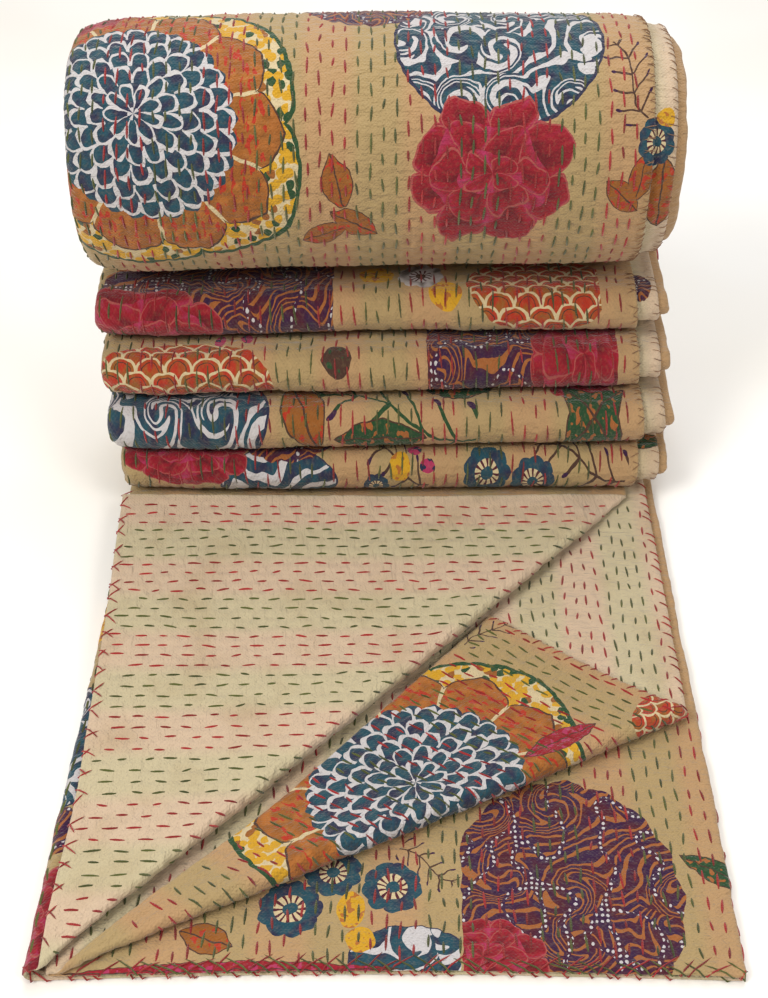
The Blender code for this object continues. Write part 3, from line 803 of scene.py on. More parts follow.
def stack_across():
    """Values of u over the whole cloth where it is pleated or rolled: the outermost ply finely, the ply that
    shows at the back turns less so, and the hidden ones coarsely except for the hem that looks out."""
    fine = bpy.context.scene.quilt_cloth.row_pitch / 4
    hem = across_piece(PLY_2, fine, hem_end=True)
    return np.unique(np.concatenate([
        across_piece(PLY_1, fine, hem_start=True), across_piece(OUTER_FOLD, FOLD_STEP),
        across_piece(PLY_4, BACK_STEP), across_piece(RIGHT_FOLD, FOLD_STEP / 2),
        across_piece(PLY_3, HIDDEN_STEP), across_piece(INNER_FOLD, FOLD_STEP / 2),
        stations(SECTION_ENDS[PLY_2], CLOTH_WIDTH - LOOK_OUT, HIDDEN_STEP), hem[hem > CLOTH_WIDTH - LOOK_OUT],
    ]))


def stack_along():
    """Values of v over the pleats: close round each nose and just behind it, coarse between the layers."""
    values = [stations(FRONT_END, STRETCH_ENDS[0], HIDDEN_STEP)]
    for index in range(1, len(STRETCH_ENDS) - 1):
        start, end = STRETCH_ENDS[index - 1], STRETCH_ENDS[index]
        if index % 2:
            values.append(stations(start, end, NOSE_STEP if index % 4 == 3 else BACK_TURN_STEP))
            continue
        from_nose = index % 4 == 0
        part = min(NEAR_NOSE, end - start)
        cut = start + part if from_nose else end - part
        steps = (NEAR_NOSE_STEP, HIDDEN_STEP) if from_nose else (HIDDEN_STEP, NEAR_NOSE_STEP)
        values += [stations(start, cut, steps[0]), stations(cut, end, steps[1])]
    return np.unique(np.concatenate(values))


def cut_along(values, start, end):
    """The values between two cuts, with the cuts themselves."""
    return np.concatenate([[start], values[(values > start + MM) & (values < end - MM)], [end]])


def pleat_cuts():
    """Where the stack is cut into pieces, each in the middle of a hidden straight stretch: two behind every
    second nose, and the last one where the roll's first turn passes over the second."""
    after_second, after_last = 8, 16
    cuts = [
        STRETCH_ENDS[k - 1] + share * (STRETCH_ENDS[k] - STRETCH_ENDS[k - 1])
        for k, share in ((after_second, 0.5), (after_last, 0.9))
    ]
    return FRONT_END, *cuts, ROLL_START + OUTER_TURN + PAST_TURN, CLOTH_END


class QUILT_OT_front(bpy.types.Operator):
    """Lays out the quilt's front end, with two of its plies turned back at the corner."""

    bl_idname = "quilt.front"
    bl_label = "Laid-out front"

    def execute(self, context):
        materials = [
            cotton_material("printed_cotton_front", FRONT_PRINT, "printed"),
            cotton_material("plain_cotton", PLAIN_PRINT, "plain"),
        ]
        for name, upper in (("quilt_front_upper", True), ("quilt_front_lower", False)):
            cloth_piece(name, front_blocks(upper), materials)
        return {"FINISHED"}


class QUILT_OT_pleats(bpy.types.Operator):
    """Stacks the four pleats, as two pieces of cloth."""

    bl_idname = "quilt.pleats"
    bl_label = "Pleats"

    def execute(self, context):
        start, middle, end, *_ = pleat_cuts()
        across, along = stack_across(), stack_along()
        printed = cotton_material("printed_cotton_pleats", PLEAT_PRINT, "printed")
        materials = [printed, bpy.data.materials["plain_cotton"]]
        for name, first, last in (("quilt_pleats_lower", start, middle), ("quilt_pleats_upper", middle, end)):
            cloth_piece(name, [grid(across, cut_along(along, first, last))], materials)
        return {"FINISHED"}


class QUILT_OT_roll(bpy.types.Operator):
    """Winds the rest of the cloth into the roll: its outer turn finely, and the turns inside it."""

    bl_idname = "quilt.roll"
    bl_label = "Roll"

    def execute(self, context):
        *_, start, inner, end = pleat_cuts()
        across = stack_across()
        outer_turn = np.concatenate([stack_along(), stations(ROLL_START, inner, ROLL_STEP)])
        printed = cotton_material("printed_cotton_roll", ROLL_PRINT, "printed")
        materials = [printed, bpy.data.materials["plain_cotton"]]
        cloth_piece("quilt_roll", [grid(across, cut_along(np.unique(outer_turn), start, inner))], materials)
        core = np.concatenate([stations(inner, end - 2 * MM, CORE_STEP), end - np.array(HEM_STATIONS)])
        hems = across[(across < 4 * MM) | (across > CLOTH_WIDTH - LOOK_OUT)]
        across = np.unique(np.concatenate([across[::3], SECTION_ENDS, hems]))
        cloth_piece("quilt_roll_core", [grid(across, np.unique(core))], materials)
        return {"FINISHED"}


# --- Stitches -----------------------------------------------------------------------------------------


def thread_piece(name, spines, width, material):
    """One mesh of many short threads. spines is (threads, points, 3): u, v and e along each one's middle.

    A thread is three-sided. Its corners stand half its width off its middle, along the direction away from
    the cloth's middle and along the cross product of that direction with the thread's own, and it narrows
    to a point at both ends, as a sine to the power 0.4.
    """
    u, v, e = np.moveaxis(spines, -1, 0)
    middle = folded(u, v, e)
    inside = folded(np.clip(u, MM, CLOTH_WIDTH - MM), np.clip(v, MM, CLOTH_END - MM), np.zeros_like(e))
    along = np.gradient(middle, axis=1)
    along /= np.linalg.norm(along, axis=-1, keepdims=True) + 1e-12
    away = middle - inside
    away -= (away * along).sum(-1, keepdims=True) * along
    away /= np.linalg.norm(away, axis=-1, keepdims=True) + 1e-12
    sideways = np.cross(along, away)
    count, stops = spines.shape[:2]
    thick = width / 2 * (np.sin(math.pi * np.linspace(0, 1, stops)[1:-1]) ** 0.4)[None, :, None]
    corners = []
    for turn in (0.25, 0.25 + 1 / 3, 0.25 + 2 / 3):
        angle = math.tau * turn
        outwards = math.cos(angle) * sideways + THREAD_FLATNESS * math.sin(angle) * away
        corners.append(middle[:, 1:-1] + thick * outwards[:, 1:-1])
    rings = np.stack(corners, axis=2).reshape(count, -1, 3)
    points = np.concatenate([middle[:, :1], rings, middle[:, -1:]], axis=1)
    per_thread = points.shape[1]
    last = per_thread - 1
    faces = []
    for k in range(3):
        n = (k + 1) % 3
        faces += [(0, 1 + n, 1 + k), (last, last - 3 + k, last - 3 + n)]
        for ring in range(stops - 3):
            a, b = 1 + 3 * ring + k, 1 + 3 * ring + n
            faces += [(a, b, b + 3), (a, b + 3, a + 3)]
    triangles = (np.arange(count)[:, None, None] * per_thread + np.array(faces)[None]).reshape(-1, 3)
    lengths = np.concatenate([np.zeros(1), np.repeat(np.arange(stops - 2) + 1, 3), np.full(1, stops - 1)])
    numbers = np.arange(count)[:, None] * DYE_STEP
    thread_map = np.stack(np.broadcast_arrays(numbers, lengths[None] / (stops - 1)), -1).reshape(-1, 2)
    piece = new_object(name, points.reshape(-1, 3), triangles[:, ::-1], [material], None, thread_map)
    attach(piece, "root")
    return piece


def every_stitch(side):
    """Every running stitch that one side of the cloth shows: arrays of its row, and of u and v at its two
    ends. Each row starts anywhere, and its stitches differ a little in length, place and slant. Between two
    stitches of one side, the thread shows on the other."""
    cloth = bpy.context.scene.quilt_cloth
    rows = np.arange(1, int(CLOTH_WIDTH / cloth.row_pitch))[:, None]
    counts = np.arange(int(CLOTH_END / cloth.stitch_pitch))[None, :]
    random = np.random.default_rng(31)
    shape = (rows.size, counts.size)
    start = random.uniform(0, 1, (rows.size, 1)) + (0.5 if side < 0 else 0)
    place = (counts + start + random.uniform(-0.11, 0.11, shape)) * cloth.stitch_pitch
    length = cloth.stitch_length * (1 + random.uniform(-0.36, 0.3, shape))
    length = length * (1 if side > 0 else PLAIN_SIDE_SHARE)
    slant = random.uniform(-1.0, 1.0, (2, *shape)) * MM
    ruled = (rows + 0.5) * cloth.row_pitch
    ends = []
    for end, sign in ((0, -0.5), (1, 0.5)):
        v = place + sign * length
        ends.append((ruled - row_wander(ruled, v) + slant[end], v))
    row = np.broadcast_to(rows, shape).ravel()
    (u0, v0), (u1, v1) = ends
    return row, u0.ravel(), v0.ravel(), u1.ravel(), v1.ravel()


def crease_depth(x, corner_x, angle):
    """v of a turned-back corner's crease where it crosses x."""
    return (x - corner_x) * math.tan(angle)


def shows(u, v, side):
    """Whether each point of one side of the cloth can be seen from outside the folded quilt."""
    top_x, second_x = TOP_HEM_X - u, INNER_LEFT_X + u - SECTION_ENDS[PLY_2]
    third_x = SECTION[PLY_3][1] - (u - SECTION_ENDS[PLY_3])
    top_crease = crease_depth(top_x, LEFT_X, TOP_CREASE_ANGLE)
    second_crease = crease_depth(second_x, INNER_LEFT_X, INNER_CREASE_ANGLE)
    in_top, in_second = u < SECTION_ENDS[OUTER_FOLD], u > SECTION_ENDS[PLY_2]
    in_third = (u > SECTION_ENDS[RIGHT_FOLD]) & (u < SECTION_ENDS[INNER_FOLD])
    front = v < PLEAT_NOSES[0] + 4 * MM
    if side < 0:
        staying = in_second & (v > second_crease - 12 * MM)
        staying &= v < crease_depth(second_x, LEFT_X, TOP_CREASE_ANGLE) + 12 * MM
        return front & ((in_top & (v < top_crease + 6 * MM)) | staying)
    seen = front & in_third & (v < crease_depth(third_x, INNER_LEFT_X, INNER_CREASE_ANGLE) + 6 * MM)
    seen |= front & in_second & (v < second_crease + 10 * MM)
    seen |= front & (u > SECTION_ENDS[OUTER_FOLD] - 34 * MM) & (u < SECTION_ENDS[PLY_4]) & (v > top_crease)
    outer = u < SECTION_ENDS[PLY_4] + 4 * MM
    for index in range(1, len(STRETCH_ENDS) - 1, 2):
        start, end = STRETCH_ENDS[index - 1], STRETCH_ENDS[index]
        if index % 4 == 3:
            seen |= outer & (v > start - NEAR_NOSE) & (v < end + NEAR_NOSE)
        else:
            back = (u > SECTION_ENDS[OUTER_FOLD]) & (u < SECTION_ENDS[PLY_3] + 2 * MM)
            seen |= back & (v > start - 10 * MM) & (v < end + 10 * MM)
    return seen | (outer & (v > ROLL_START) & (v < ROLL_START + OUTER_TURN))


class QUILT_OT_running_stitches(bpy.types.Operator):
    """Sews the rows of running stitch, four rows of red and four of green by turns."""

    bl_idname = "quilt.running_stitches"
    bl_label = "Running stitches"

    def execute(self, context):
        cloth = context.scene.quilt_cloth
        shares = np.array(STITCH_STOPS)
        spines = {"red": [], "green": []}
        for side in (1, -1):
            row, u0, v0, u1, v1 = every_stitch(side)
            for colour, band in (("red", 0), ("green", 1)):
                own = (row // ROWS_OF_ONE_COLOUR % 2 == band) & shows((u0 + u1) / 2, (v0 + v1) / 2, side)
                own &= (v0 > 3 * MM) & (v1 < CLOTH_END)
                u = u0[own, None] + (u1 - u0)[own, None] * shares
                v = v0[own, None] + (v1 - v0)[own, None] * shares
                lift = cloth.thread_width * (STITCH_STAND * np.sin(math.pi * shares) ** 0.5 - STITCH_DIVE)
                e = surface_height(u, v, side) + side * lift[None, :]
                spines[colour].append(np.stack([u, v, e], axis=-1))
        for colour, parts in spines.items():
            every = np.concatenate(parts)
            thread_piece("quilt_stitches_" + colour, every, cloth.thread_width, thread_material(colour))
        return {"FINISHED"}


def whip_spines(edge, start, end, pitch, depth, lean, phase=0.0):
    """Stitches that wrap over an edge of the cloth, from depth inside it on the printed side to depth inside
    it on the plain side, and lean along it on the way. edge turns (inwards, along) into (u, v)."""
    rows = np.array(WHIP_STOPS)
    random = np.random.default_rng(int(1000 * (start + end + phase)) + 7)
    places = np.arange(start + phase * pitch, end - abs(lean), pitch)[:, None]
    places = places + random.uniform(-0.3, 0.3, places.shape) * pitch
    inwards = depth * rows[None, :, 0] * (1 + random.uniform(-0.35, 0.35, places.shape))
    along = places + lean * rows[None, :, 1] * (1 + random.uniform(-0.3, 0.3, places.shape))
    u, v = edge(inwards, along)
    u, v = np.broadcast_arrays(u, v)
    half = half_thickness(np.clip(u, 0, CLOTH_WIDTH), np.clip(v, 0, CLOTH_END)) + 0.25 * MM
    _, offset = relief(u, v)
    return np.stack([u, v, rows[None, :, 2] * half + offset], axis=-1)


def top_hem(inwards, along):
    return inwards, along


def second_hem(inwards, along):
    return CLOTH_WIDTH - inwards, along


def front_hem(inwards, along):
    return along, inwards


class QUILT_OT_hem_stitches(bpy.types.Operator):
    """Whips the hems: fine brown thread over the side hems, red over the second ply's hem at the front, and
    long stitches that cross over the front hem, red ones only on the turned-back corner."""

    bl_idname = "quilt.hem_stitches"
    bl_label = "Hem stitches"

    def execute(self, context):
        red, brown = [whip_spines(second_hem, 3 * MM, FRONT_END, *RIGHT_WHIP)], []
        stretches = [(ROLL_START, ROLL_START + OUTER_TURN)]
        for nose in range(len(PLEAT_NOSES)):
            start, end = STRETCH_ENDS[4 * nose + 2], STRETCH_ENDS[4 * nose + 3]
            stretches.append((start - 20 * MM, end + 20 * MM))
        for start, end in stretches:
            brown.append(whip_spines(top_hem, start, end, *SIDE_WHIP))
            brown.append(whip_spines(top_hem, start, end, *BACK_WHIP, 0.5))
            brown.append(whip_spines(second_hem, start, end, *SIDE_WHIP))
        pitch, depth, run = LEFT_WHIP
        for lean in (run, -run):
            red.append(whip_spines(front_hem, 3 * MM, SECTION_ENDS[OUTER_FOLD], pitch, depth, lean))
        front = SECTION_ENDS[RIGHT_FOLD], SECTION_ENDS[INNER_FOLD]
        pitch, depth, run = FRONT_WHIP
        red.append(whip_spines(front_hem, *front, pitch, depth, run))
        red.append(whip_spines(front_hem, SECTION_ENDS[PLY_4], front[0], pitch, depth, -run))
        green = [whip_spines(front_hem, *front, pitch, 0.8 * depth, -run, 0.5)]
        for colour, parts, width in (
            ("red", red, HEM_THREAD), ("green", green, HEM_THREAD), ("brown", brown, FINE_THREAD)
        ):
            thread_piece("quilt_hem_" + colour, np.concatenate(parts), width, thread_material(colour))
        return {"FINISHED"}


# --- The stage ----------------------------------------------------------------------------------------


def area_light(name, place, target, size, power, colour=(1, 1, 1)):
    """A square soft light of the given size in metres, turned to its target."""
    data = bpy.data.lights.new(name, "AREA")
    data.size = size
    data.energy = power
    data.color = colour
    light = bpy.data.objects.new(name, data)
    light.location = place
    light.rotation_euler = (Vector(target) - Vector(place)).to_track_quat("-Z", "Y").to_euler()
    bpy.context.scene.collection.objects.link(light)


class QUILT_OT_stage(bpy.types.Operator):
    """Sets the pale floor, the soft studio light and the camera at the photo's angle."""

    bl_idname = "quilt.stage"
    bl_label = "Stage"

    def execute(self, context):
        scene = context.scene
        mesh = bpy.data.meshes.new("floor")
        size = FLOOR_SIZE / 2
        corners = [(x * size, y * size, FLOOR_Z) for x, y in ((-1, -1), (1, -1), (1, 1), (-1, 1))]
        mesh.from_pydata(corners, [], [(0, 1, 2, 3)])
        floor = bpy.data.objects.new("floor", mesh)
        scene.collection.objects.link(floor)
        mesh.materials.append(floor_material())
        world = bpy.data.worlds.new("studio")
        world.use_nodes = True
        background = world.node_tree.nodes["Background"]
        background.inputs["Color"].default_value = (*linear("FFFDFA"), 1)
        background.inputs["Strength"].default_value = WORLD_STRENGTH
        scene.world = world
        scene.view_settings.view_transform = "Standard"
        for row in LIGHTS:
            area_light(*row)
        camera = bpy.data.objects.new("camera", bpy.data.cameras.new("camera"))
        camera.data.sensor_fit = "VERTICAL"
        camera.data.sensor_height = SENSOR_HEIGHT
        camera.data.lens = SENSOR_HEIGHT * PHOTO_FOCAL / PHOTO_HEIGHT
        camera.location = CAMERA_PLACE
        camera.rotation_euler = (math.pi / 2 - CAMERA_PITCH, 0, 0)
        scene.collection.objects.link(camera)
        scene.camera = camera
        return {"FINISHED"}


# --- Materials ----------------------------------------------------------------------------------------


def linear(hex_colour):
    """An sRGB colour, written as hex, as linear red, green and blue."""
    shares = [int(hex_colour[k:k + 2], 16) / 255 for k in (0, 2, 4)]
    return tuple(s / 12.92 if s <= 0.04045 else ((s + 0.055) / 1.055) ** 2.4 for s in shares)


def add_node(tree, kind, *inputs, out=0, **settings):
    """Adds a node, with its operation after a colon, and returns its output number out, or all of them for
    None. An input is an output to link, a value, the name of a dye, or None to leave it as it is. stops are
    a colour ramp's (position, dye)."""
    dyes = bpy.context.scene.quilt_dyes
    kind, _, operation = kind.partition(":")
    node = tree.nodes.new("ShaderNode" + kind)
    if operation:
        node.operation = operation
    stops = settings.pop("stops", ())
    for name, value in settings.items():
        setattr(node, name, value)
    for index, (position, dye) in enumerate(stops):
        ramp = node.color_ramp
        ramp.interpolation = "CONSTANT"
        stop = ramp.elements[index] if index < 1 else ramp.elements.new(position)
        stop.position = position
        stop.color = (*getattr(dyes, dye), 1)
    for socket, value in zip([s for s in node.inputs if s.enabled], inputs):
        if value is None:
            continue
        if isinstance(value, bpy.types.NodeSocket):
            tree.links.new(value, socket)
        elif isinstance(value, str):
            socket.default_value = (*getattr(dyes, value), 1)
        else:
            socket.default_value = value
    outputs = [s for s in node.outputs if s.enabled]
    return outputs if out is None else outputs[out]


def painted(tree, under, *layers):
    """Colours over each other: each layer is a mask and the colour that covers what is under it there."""
    for mask, colour in layers:
        under = add_node(tree, "Mix", mask, under, colour, data_type="RGBA")
    return under


def nearest_place(tree, drawn, places):
    """Each point as the nearest of a motif's places sees it: from its middle, turned, and with its half
    width and half height as 1. The third part carries where it is cut off straight, divided by 100."""
    nearest = reach = None
    for u, v, width, height, turn, cut in places:
        spin = (0, 0, math.radians(turn))
        size = (width, height, 1)
        at = add_node(tree, "Mapping", drawn, (u, v, -cut / 100), spin, size, vector_type="TEXTURE")
        far = add_node(tree, "VectorMath:LENGTH", at)
        if nearest is None:
            nearest, reach = at, far
            continue
        nearer = add_node(tree, "Math:LESS_THAN", far, reach)
        nearest = add_node(tree, "Mix", nearer, nearest, at, data_type="VECTOR")
        reach = add_node(tree, "Math:MINIMUM", far, reach)
    return nearest


def polar(tree, at):
    """The distance from the middle, and the direction as a share of a turn."""
    x, y, _ = add_node(tree, "SeparateXYZ", at, out=None)
    angle = add_node(tree, "Math:ARCTAN2", y, x)
    return add_node(tree, "VectorMath:LENGTH", at), add_node(tree, "Math:MULTIPLY", angle, 1 / math.tau)


def scalloped(tree, turns, count, notch, top):
    """A radius with count round lobes, from notch between them out to top: the root of a zigzag."""
    zigzag = add_node(tree, "Math:PINGPONG", add_node(tree, "Math:MULTIPLY", turns, count), 0.5)
    arch = add_node(tree, "Math:SQRT", zigzag)
    return add_node(tree, "Math:MULTIPLY_ADD", arch, (top - notch) / math.sqrt(0.5), notch)


def scales(tree, along, up):
    """Overlapping round scales, each 1 wide along and 1 high up, every second row shifted by half of one.
    Returns how far each point is from its scale's foot, as a share of the way to its rim."""
    shifted = add_node(tree, "Math:MULTIPLY_ADD", add_node(tree, "Math:FLOOR", up), 0.5, along)
    across = add_node(tree, "Math:MULTIPLY_ADD", add_node(tree, "Math:FRACT", shifted), 2.0, -1.0)
    rise = add_node(tree, "Math:FRACT", up)
    return add_node(tree, "VectorMath:LENGTH", add_node(tree, "CombineXYZ", across, rise, 0.0))


def flower_scales(tree, radius, turns, height, first, more):
    """Scales in rings of one height round a flower's middle, first of them in the first ring and more in
    each ring after it."""
    up = add_node(tree, "Math:DIVIDE", radius, height)
    count = add_node(tree, "Math:MULTIPLY_ADD", add_node(tree, "Math:FLOOR", up), more, first)
    return scales(tree, add_node(tree, "Math:MULTIPLY", turns, count), up)


def is_near(tree, value, target, width):
    """1 where a value is within width of its target."""
    return add_node(tree, "Math:COMPARE", value, target, width)


def uneven_dye(tree, flat, one, other, size=9.0):
    """Two dyes run into each other in blotches of size mm."""
    blotch = add_node(tree, "TexNoise", flat, 1 / size, 1.0, noise_dimensions="2D")
    return painted(tree, one, (add_node(tree, "MapRange", blotch, 0.4, 0.68), other))


def medallion(tree, at, flat):
    """Rings of teal scales with white rims, then brown petals with red marks, then a mosaic of small cells
    inside a green outline with lobes."""
    radius, turns = polar(tree, at)
    outline = scalloped(tree, turns, 5, 0.86, 1.0)
    within = add_node(tree, "Math:SUBTRACT", outline, radius)
    petals = scalloped(tree, turns, 11, 0.70, 0.84)
    in_petal = add_node(tree, "Math:SUBTRACT", petals, radius)
    cell, tone, _ = add_node(tree, "TexVoronoi", flat, 1 / 5.2, out=None, voronoi_dimensions="2D")
    tone = add_node(tree, "SeparateColor", tone)
    cells = ((0, "yellow"), (0.44, "cream"), (0.55, "green"), (0.7, "yellow"), (0.88, "brown"))
    mosaic = add_node(tree, "ValToRGB", tone, stops=cells)
    gaps = add_node(tree, "Math:GREATER_THAN", cell, 0.58)
    strokes = add_node(tree, "VectorMath:MULTIPLY", flat, (0.28, 0.12, 0))
    marks = add_node(tree, "Math:GREATER_THAN", add_node(tree, "TexNoise", strokes, 1.0, 1.0), 0.58)
    near_heart = add_node(tree, "Math:LESS_THAN", radius, 0.76)
    marks = add_node(tree, "Math:MULTIPLY", marks, near_heart)
    petal = add_node(tree, "Math:MULTIPLY", turns, 11)
    seam = is_near(tree, add_node(tree, "Math:PINGPONG", petal, 0.5), 0, 0.03)
    thick = add_node(tree, "TexNoise", flat, 1 / 8, 0.0, noise_dimensions="2D")
    thick = add_node(tree, "MapRange", thick, 0.3, 0.7, 0.07, 0.2)
    rim = flower_scales(tree, radius, turns, 0.096, 5, 4)
    white = is_near(tree, rim, 0.98, thick)
    heart = add_node(tree, "Math:LESS_THAN", radius, scalloped(tree, turns, 29, 0.55, 0.59))
    return painted(
        tree, "green",
        (add_node(tree, "Math:GREATER_THAN", within, 0.026), mosaic),
        (add_node(tree, "Math:MULTIPLY", add_node(tree, "Math:GREATER_THAN", within, 0.026), gaps), "cream"),
        (add_node(tree, "Math:GREATER_THAN", in_petal, -0.012), "dark_brown"),
        (add_node(tree, "Math:GREATER_THAN", in_petal, 0.0), uneven_dye(tree, flat, "brown", "orange")),
        (add_node(tree, "Math:MULTIPLY", add_node(tree, "Math:GREATER_THAN", in_petal, 0.0), marks), "red"),
        (add_node(tree, "Math:MULTIPLY", add_node(tree, "Math:GREATER_THAN", in_petal, 0.0), seam), "cream"),
        (heart, uneven_dye(tree, flat, "teal", "navy")),
        (add_node(tree, "Math:MULTIPLY", heart, white), "white"),
    ), add_node(tree, "Math:GREATER_THAN", within, 0.0)


def peony(tree, at, flat):
    """Three rings of broad, uneven crimson petals with paler rims, streaked from the middle outwards."""
    lean = add_node(tree, "TexNoise", flat, 1 / 26, 0.0, out=1, noise_dimensions="2D")
    lean = add_node(tree, "VectorMath:SUBTRACT", lean, (0.5, 0.5, 0.5))
    at = add_node(tree, "VectorMath:MULTIPLY_ADD", lean, (0.34, 0.34, 0), at)
    radius, turns = polar(tree, at)
    edge = add_node(tree, "Math:SUBTRACT", scalloped(tree, turns, 8, 0.84, 1.0), radius)
    rim = flower_scales(tree, radius, turns, 0.34, 4, 2)
    streaks = add_node(tree, "CombineXYZ", add_node(tree, "Math:MULTIPLY", turns, 26), radius, 0.0)
    shade = add_node(tree, "TexNoise", streaks, 1.3, 2.0)
    shade = add_node(tree, "Math:MULTIPLY_ADD", rim, 0.5, shade)
    petals = painted(
        tree, "crimson",
        (add_node(tree, "MapRange", shade, 0.9, 0.55), "dark_crimson"),
        (add_node(tree, "MapRange", shade, 0.95, 1.25), "magenta"),
    )
    return painted(
        tree, petals,
        (is_near(tree, rim, 1.0, 0.032), "rose"),
        (is_near(tree, edge, 0.0, 0.022), "rose"),
    ), add_node(tree, "Math:GREATER_THAN", edge, 0.0)


def winding_lines(tree, flat, pitch, size, twist):
    """Lines pitch mm apart that wind round hills of smooth noise, size mm wide: the place from one line to
    the next."""
    hills = add_node(tree, "TexNoise", flat, 1 / size, 0.5, noise_dimensions="2D")
    slope = add_node(tree, "VectorMath:DOT_PRODUCT", flat, (0.6 / pitch, 0.8 / pitch, 0))
    return add_node(tree, "Math:FRACT", add_node(tree, "Math:MULTIPLY_ADD", hills, twist, slope))


def whorls(tree, flat, size, twist):
    """The flat cloth twisted round places about size mm apart, by twist radians in their middles."""
    far, _, middle = add_node(
        tree, "TexVoronoi", flat, 1 / size, 0.0, 0.5, 2.0, 0.7, out=None, voronoi_dimensions="2D"
    )
    turn = add_node(tree, "MapRange", far, 0.0, 0.55, twist, 0.0, interpolation_type="SMOOTHSTEP")
    return add_node(tree, "VectorRotate", flat, middle, turn, rotation_type="Z_AXIS")


def waves(tree, at, flat):
    """A round patch of white waves that wind and curl through teal."""
    radius = add_node(tree, "VectorMath:LENGTH", at)
    line = winding_lines(tree, whorls(tree, flat, 36, 4.6), 17.0, 30, 3.4)
    teal = uneven_dye(tree, flat, "teal", "navy")
    white = add_node(tree, "Math:LESS_THAN", line, 0.37)
    return painted(
        tree, teal, (white, "white"), (add_node(tree, "Math:GREATER_THAN", radius, 0.97), "navy")
    ), add_node(tree, "Math:LESS_THAN", radius, 1.0)


def dotted_swirl(tree, at, flat):
    """A dark purple patch with tan lines that wind and curl, and rows of white dots between some of them."""
    radius, turns = polar(tree, at)
    line = winding_lines(tree, whorls(tree, flat, 44, 3.0), 6.6, 34, 4.4)
    dot = add_node(tree, "TexVoronoi", flat, 1 / 3.5, 0.0, 0.5, 2.0, 0.2, voronoi_dimensions="2D")
    row = add_node(tree, "TexNoise", flat, 1 / 26, 0.0, noise_dimensions="2D")
    dots = add_node(tree, "Math:LESS_THAN", dot, 0.27)
    dots = add_node(tree, "Math:MULTIPLY", dots, is_near(tree, row, 0.5, 0.035))
    off_row = add_node(tree, "Math:SUBTRACT", 1.0, is_near(tree, row, 0.5, 0.045))
    lines = add_node(tree, "Math:MULTIPLY", add_node(tree, "Math:LESS_THAN", line, 0.3), off_row)
    edge = scalloped(tree, turns, 17, 0.95, 1.0)
    return painted(
        tree, uneven_dye(tree, flat, "purple", "maroon", 14.0), (lines, "tan"), (dots, "white")
    ), add_node(tree, "Math:LESS_THAN", radius, edge)


def daisy(tree, at, flat, petals, run, rays, eye):
    """A small flower: lobed petals, a ring of pale rays and a round eye."""
    radius, turns = polar(tree, at)
    edge = add_node(tree, "Math:SUBTRACT", scalloped(tree, turns, 9, 0.86, 1.0), radius)
    ray = add_node(tree, "Math:PINGPONG", add_node(tree, "Math:MULTIPLY", turns, 12), 0.5)
    ring = add_node(tree, "Math:LESS_THAN", radius, 0.5)
    return painted(
        tree, uneven_dye(tree, flat, petals, run),
        (ring, "maroon"),
        (add_node(tree, "Math:MULTIPLY", ring, add_node(tree, "Math:GREATER_THAN", ray, 0.2)), rays),
        (add_node(tree, "Math:LESS_THAN", radius, 0.24), eye),
    ), add_node(tree, "Math:GREATER_THAN", edge, 0.0)


def leaf(tree, at, flat, fill, marks):
    """A pointed leaf, whose half height falls as the square of the way to its tips, with a rib and marks."""
    x, y, _ = add_node(tree, "SeparateXYZ", at, out=None)
    off = add_node(tree, "Math:ABSOLUTE", y)
    half = add_node(tree, "Math:MULTIPLY_ADD", x, add_node(tree, "Math:MULTIPLY", x, -1.0), 1.0)
    within = add_node(tree, "Math:SUBTRACT", half, off)
    blots = add_node(tree, "TexNoise", flat, 1 / 5, 1.0, noise_dimensions="2D")
    blots = add_node(tree, "Math:GREATER_THAN", blots, 0.61)
    return painted(
        tree, fill,
        (blots, marks),
        (is_near(tree, off, 0.0, 0.05), "dark_brown"),
        (is_near(tree, within, 0.0, 0.08), "dark_brown"),
    ), add_node(tree, "Math:GREATER_THAN", within, 0.0)


def fan(tree, at, flat, wide, high):
    """A rounded patch of red and brown scales with cream rims. wide and high are one scale's size in mm."""
    u, v, _ = add_node(tree, "SeparateXYZ", flat, out=None)
    rim = scales(tree, add_node(tree, "Math:DIVIDE", u, wide), add_node(tree, "Math:DIVIDE", v, high))
    radius = add_node(tree, "VectorMath:LENGTH", at)
    return painted(
        tree, uneven_dye(tree, flat, "red", "brown", 6.0),
        (is_near(tree, rim, 0.62, 0.035), "dark_brown"),
        (is_near(tree, rim, 0.98, 0.1), "cream"),
    ), add_node(tree, "Math:LESS_THAN", radius, 1.0)


def branch(tree, at, flat, stem, thickness):
    """A winding stem, a sine of the way along it, with twigs that leave it at a slant and end in buds."""
    x, y, _ = add_node(tree, "SeparateXYZ", at, out=None)
    bend = add_node(tree, "Math:SINE", add_node(tree, "Math:MULTIPLY", x, 2.6))
    off = add_node(tree, "Math:ABSOLUTE", add_node(tree, "Math:MULTIPLY_ADD", bend, -0.3, y))
    place = add_node(tree, "Math:FRACT", add_node(tree, "Math:MULTIPLY", x, 2.5))
    slant = add_node(tree, "Math:SUBTRACT", place, off)
    short = add_node(tree, "Math:LESS_THAN", off, 0.6)
    twig = add_node(tree, "Math:MULTIPLY", is_near(tree, slant, 0.12, 2 * thickness), short)
    to_bud = add_node(tree, "CombineXYZ", slant, off, 0.0)
    bud = add_node(tree, "VectorMath:DISTANCE", to_bud, (0.12, 0.66, 0))
    bud = add_node(tree, "Math:LESS_THAN", bud, 0.1)
    drawn = add_node(tree, "Math:MAXIMUM", is_near(tree, off, 0.0, thickness), twig)
    drawn = add_node(tree, "Math:MAXIMUM", drawn, bud)
    inside = add_node(tree, "Math:LESS_THAN", add_node(tree, "Math:ABSOLUTE", x), 0.98)
    return painted(tree, stem, (bud, "purple")), add_node(tree, "Math:MULTIPLY", drawn, inside)


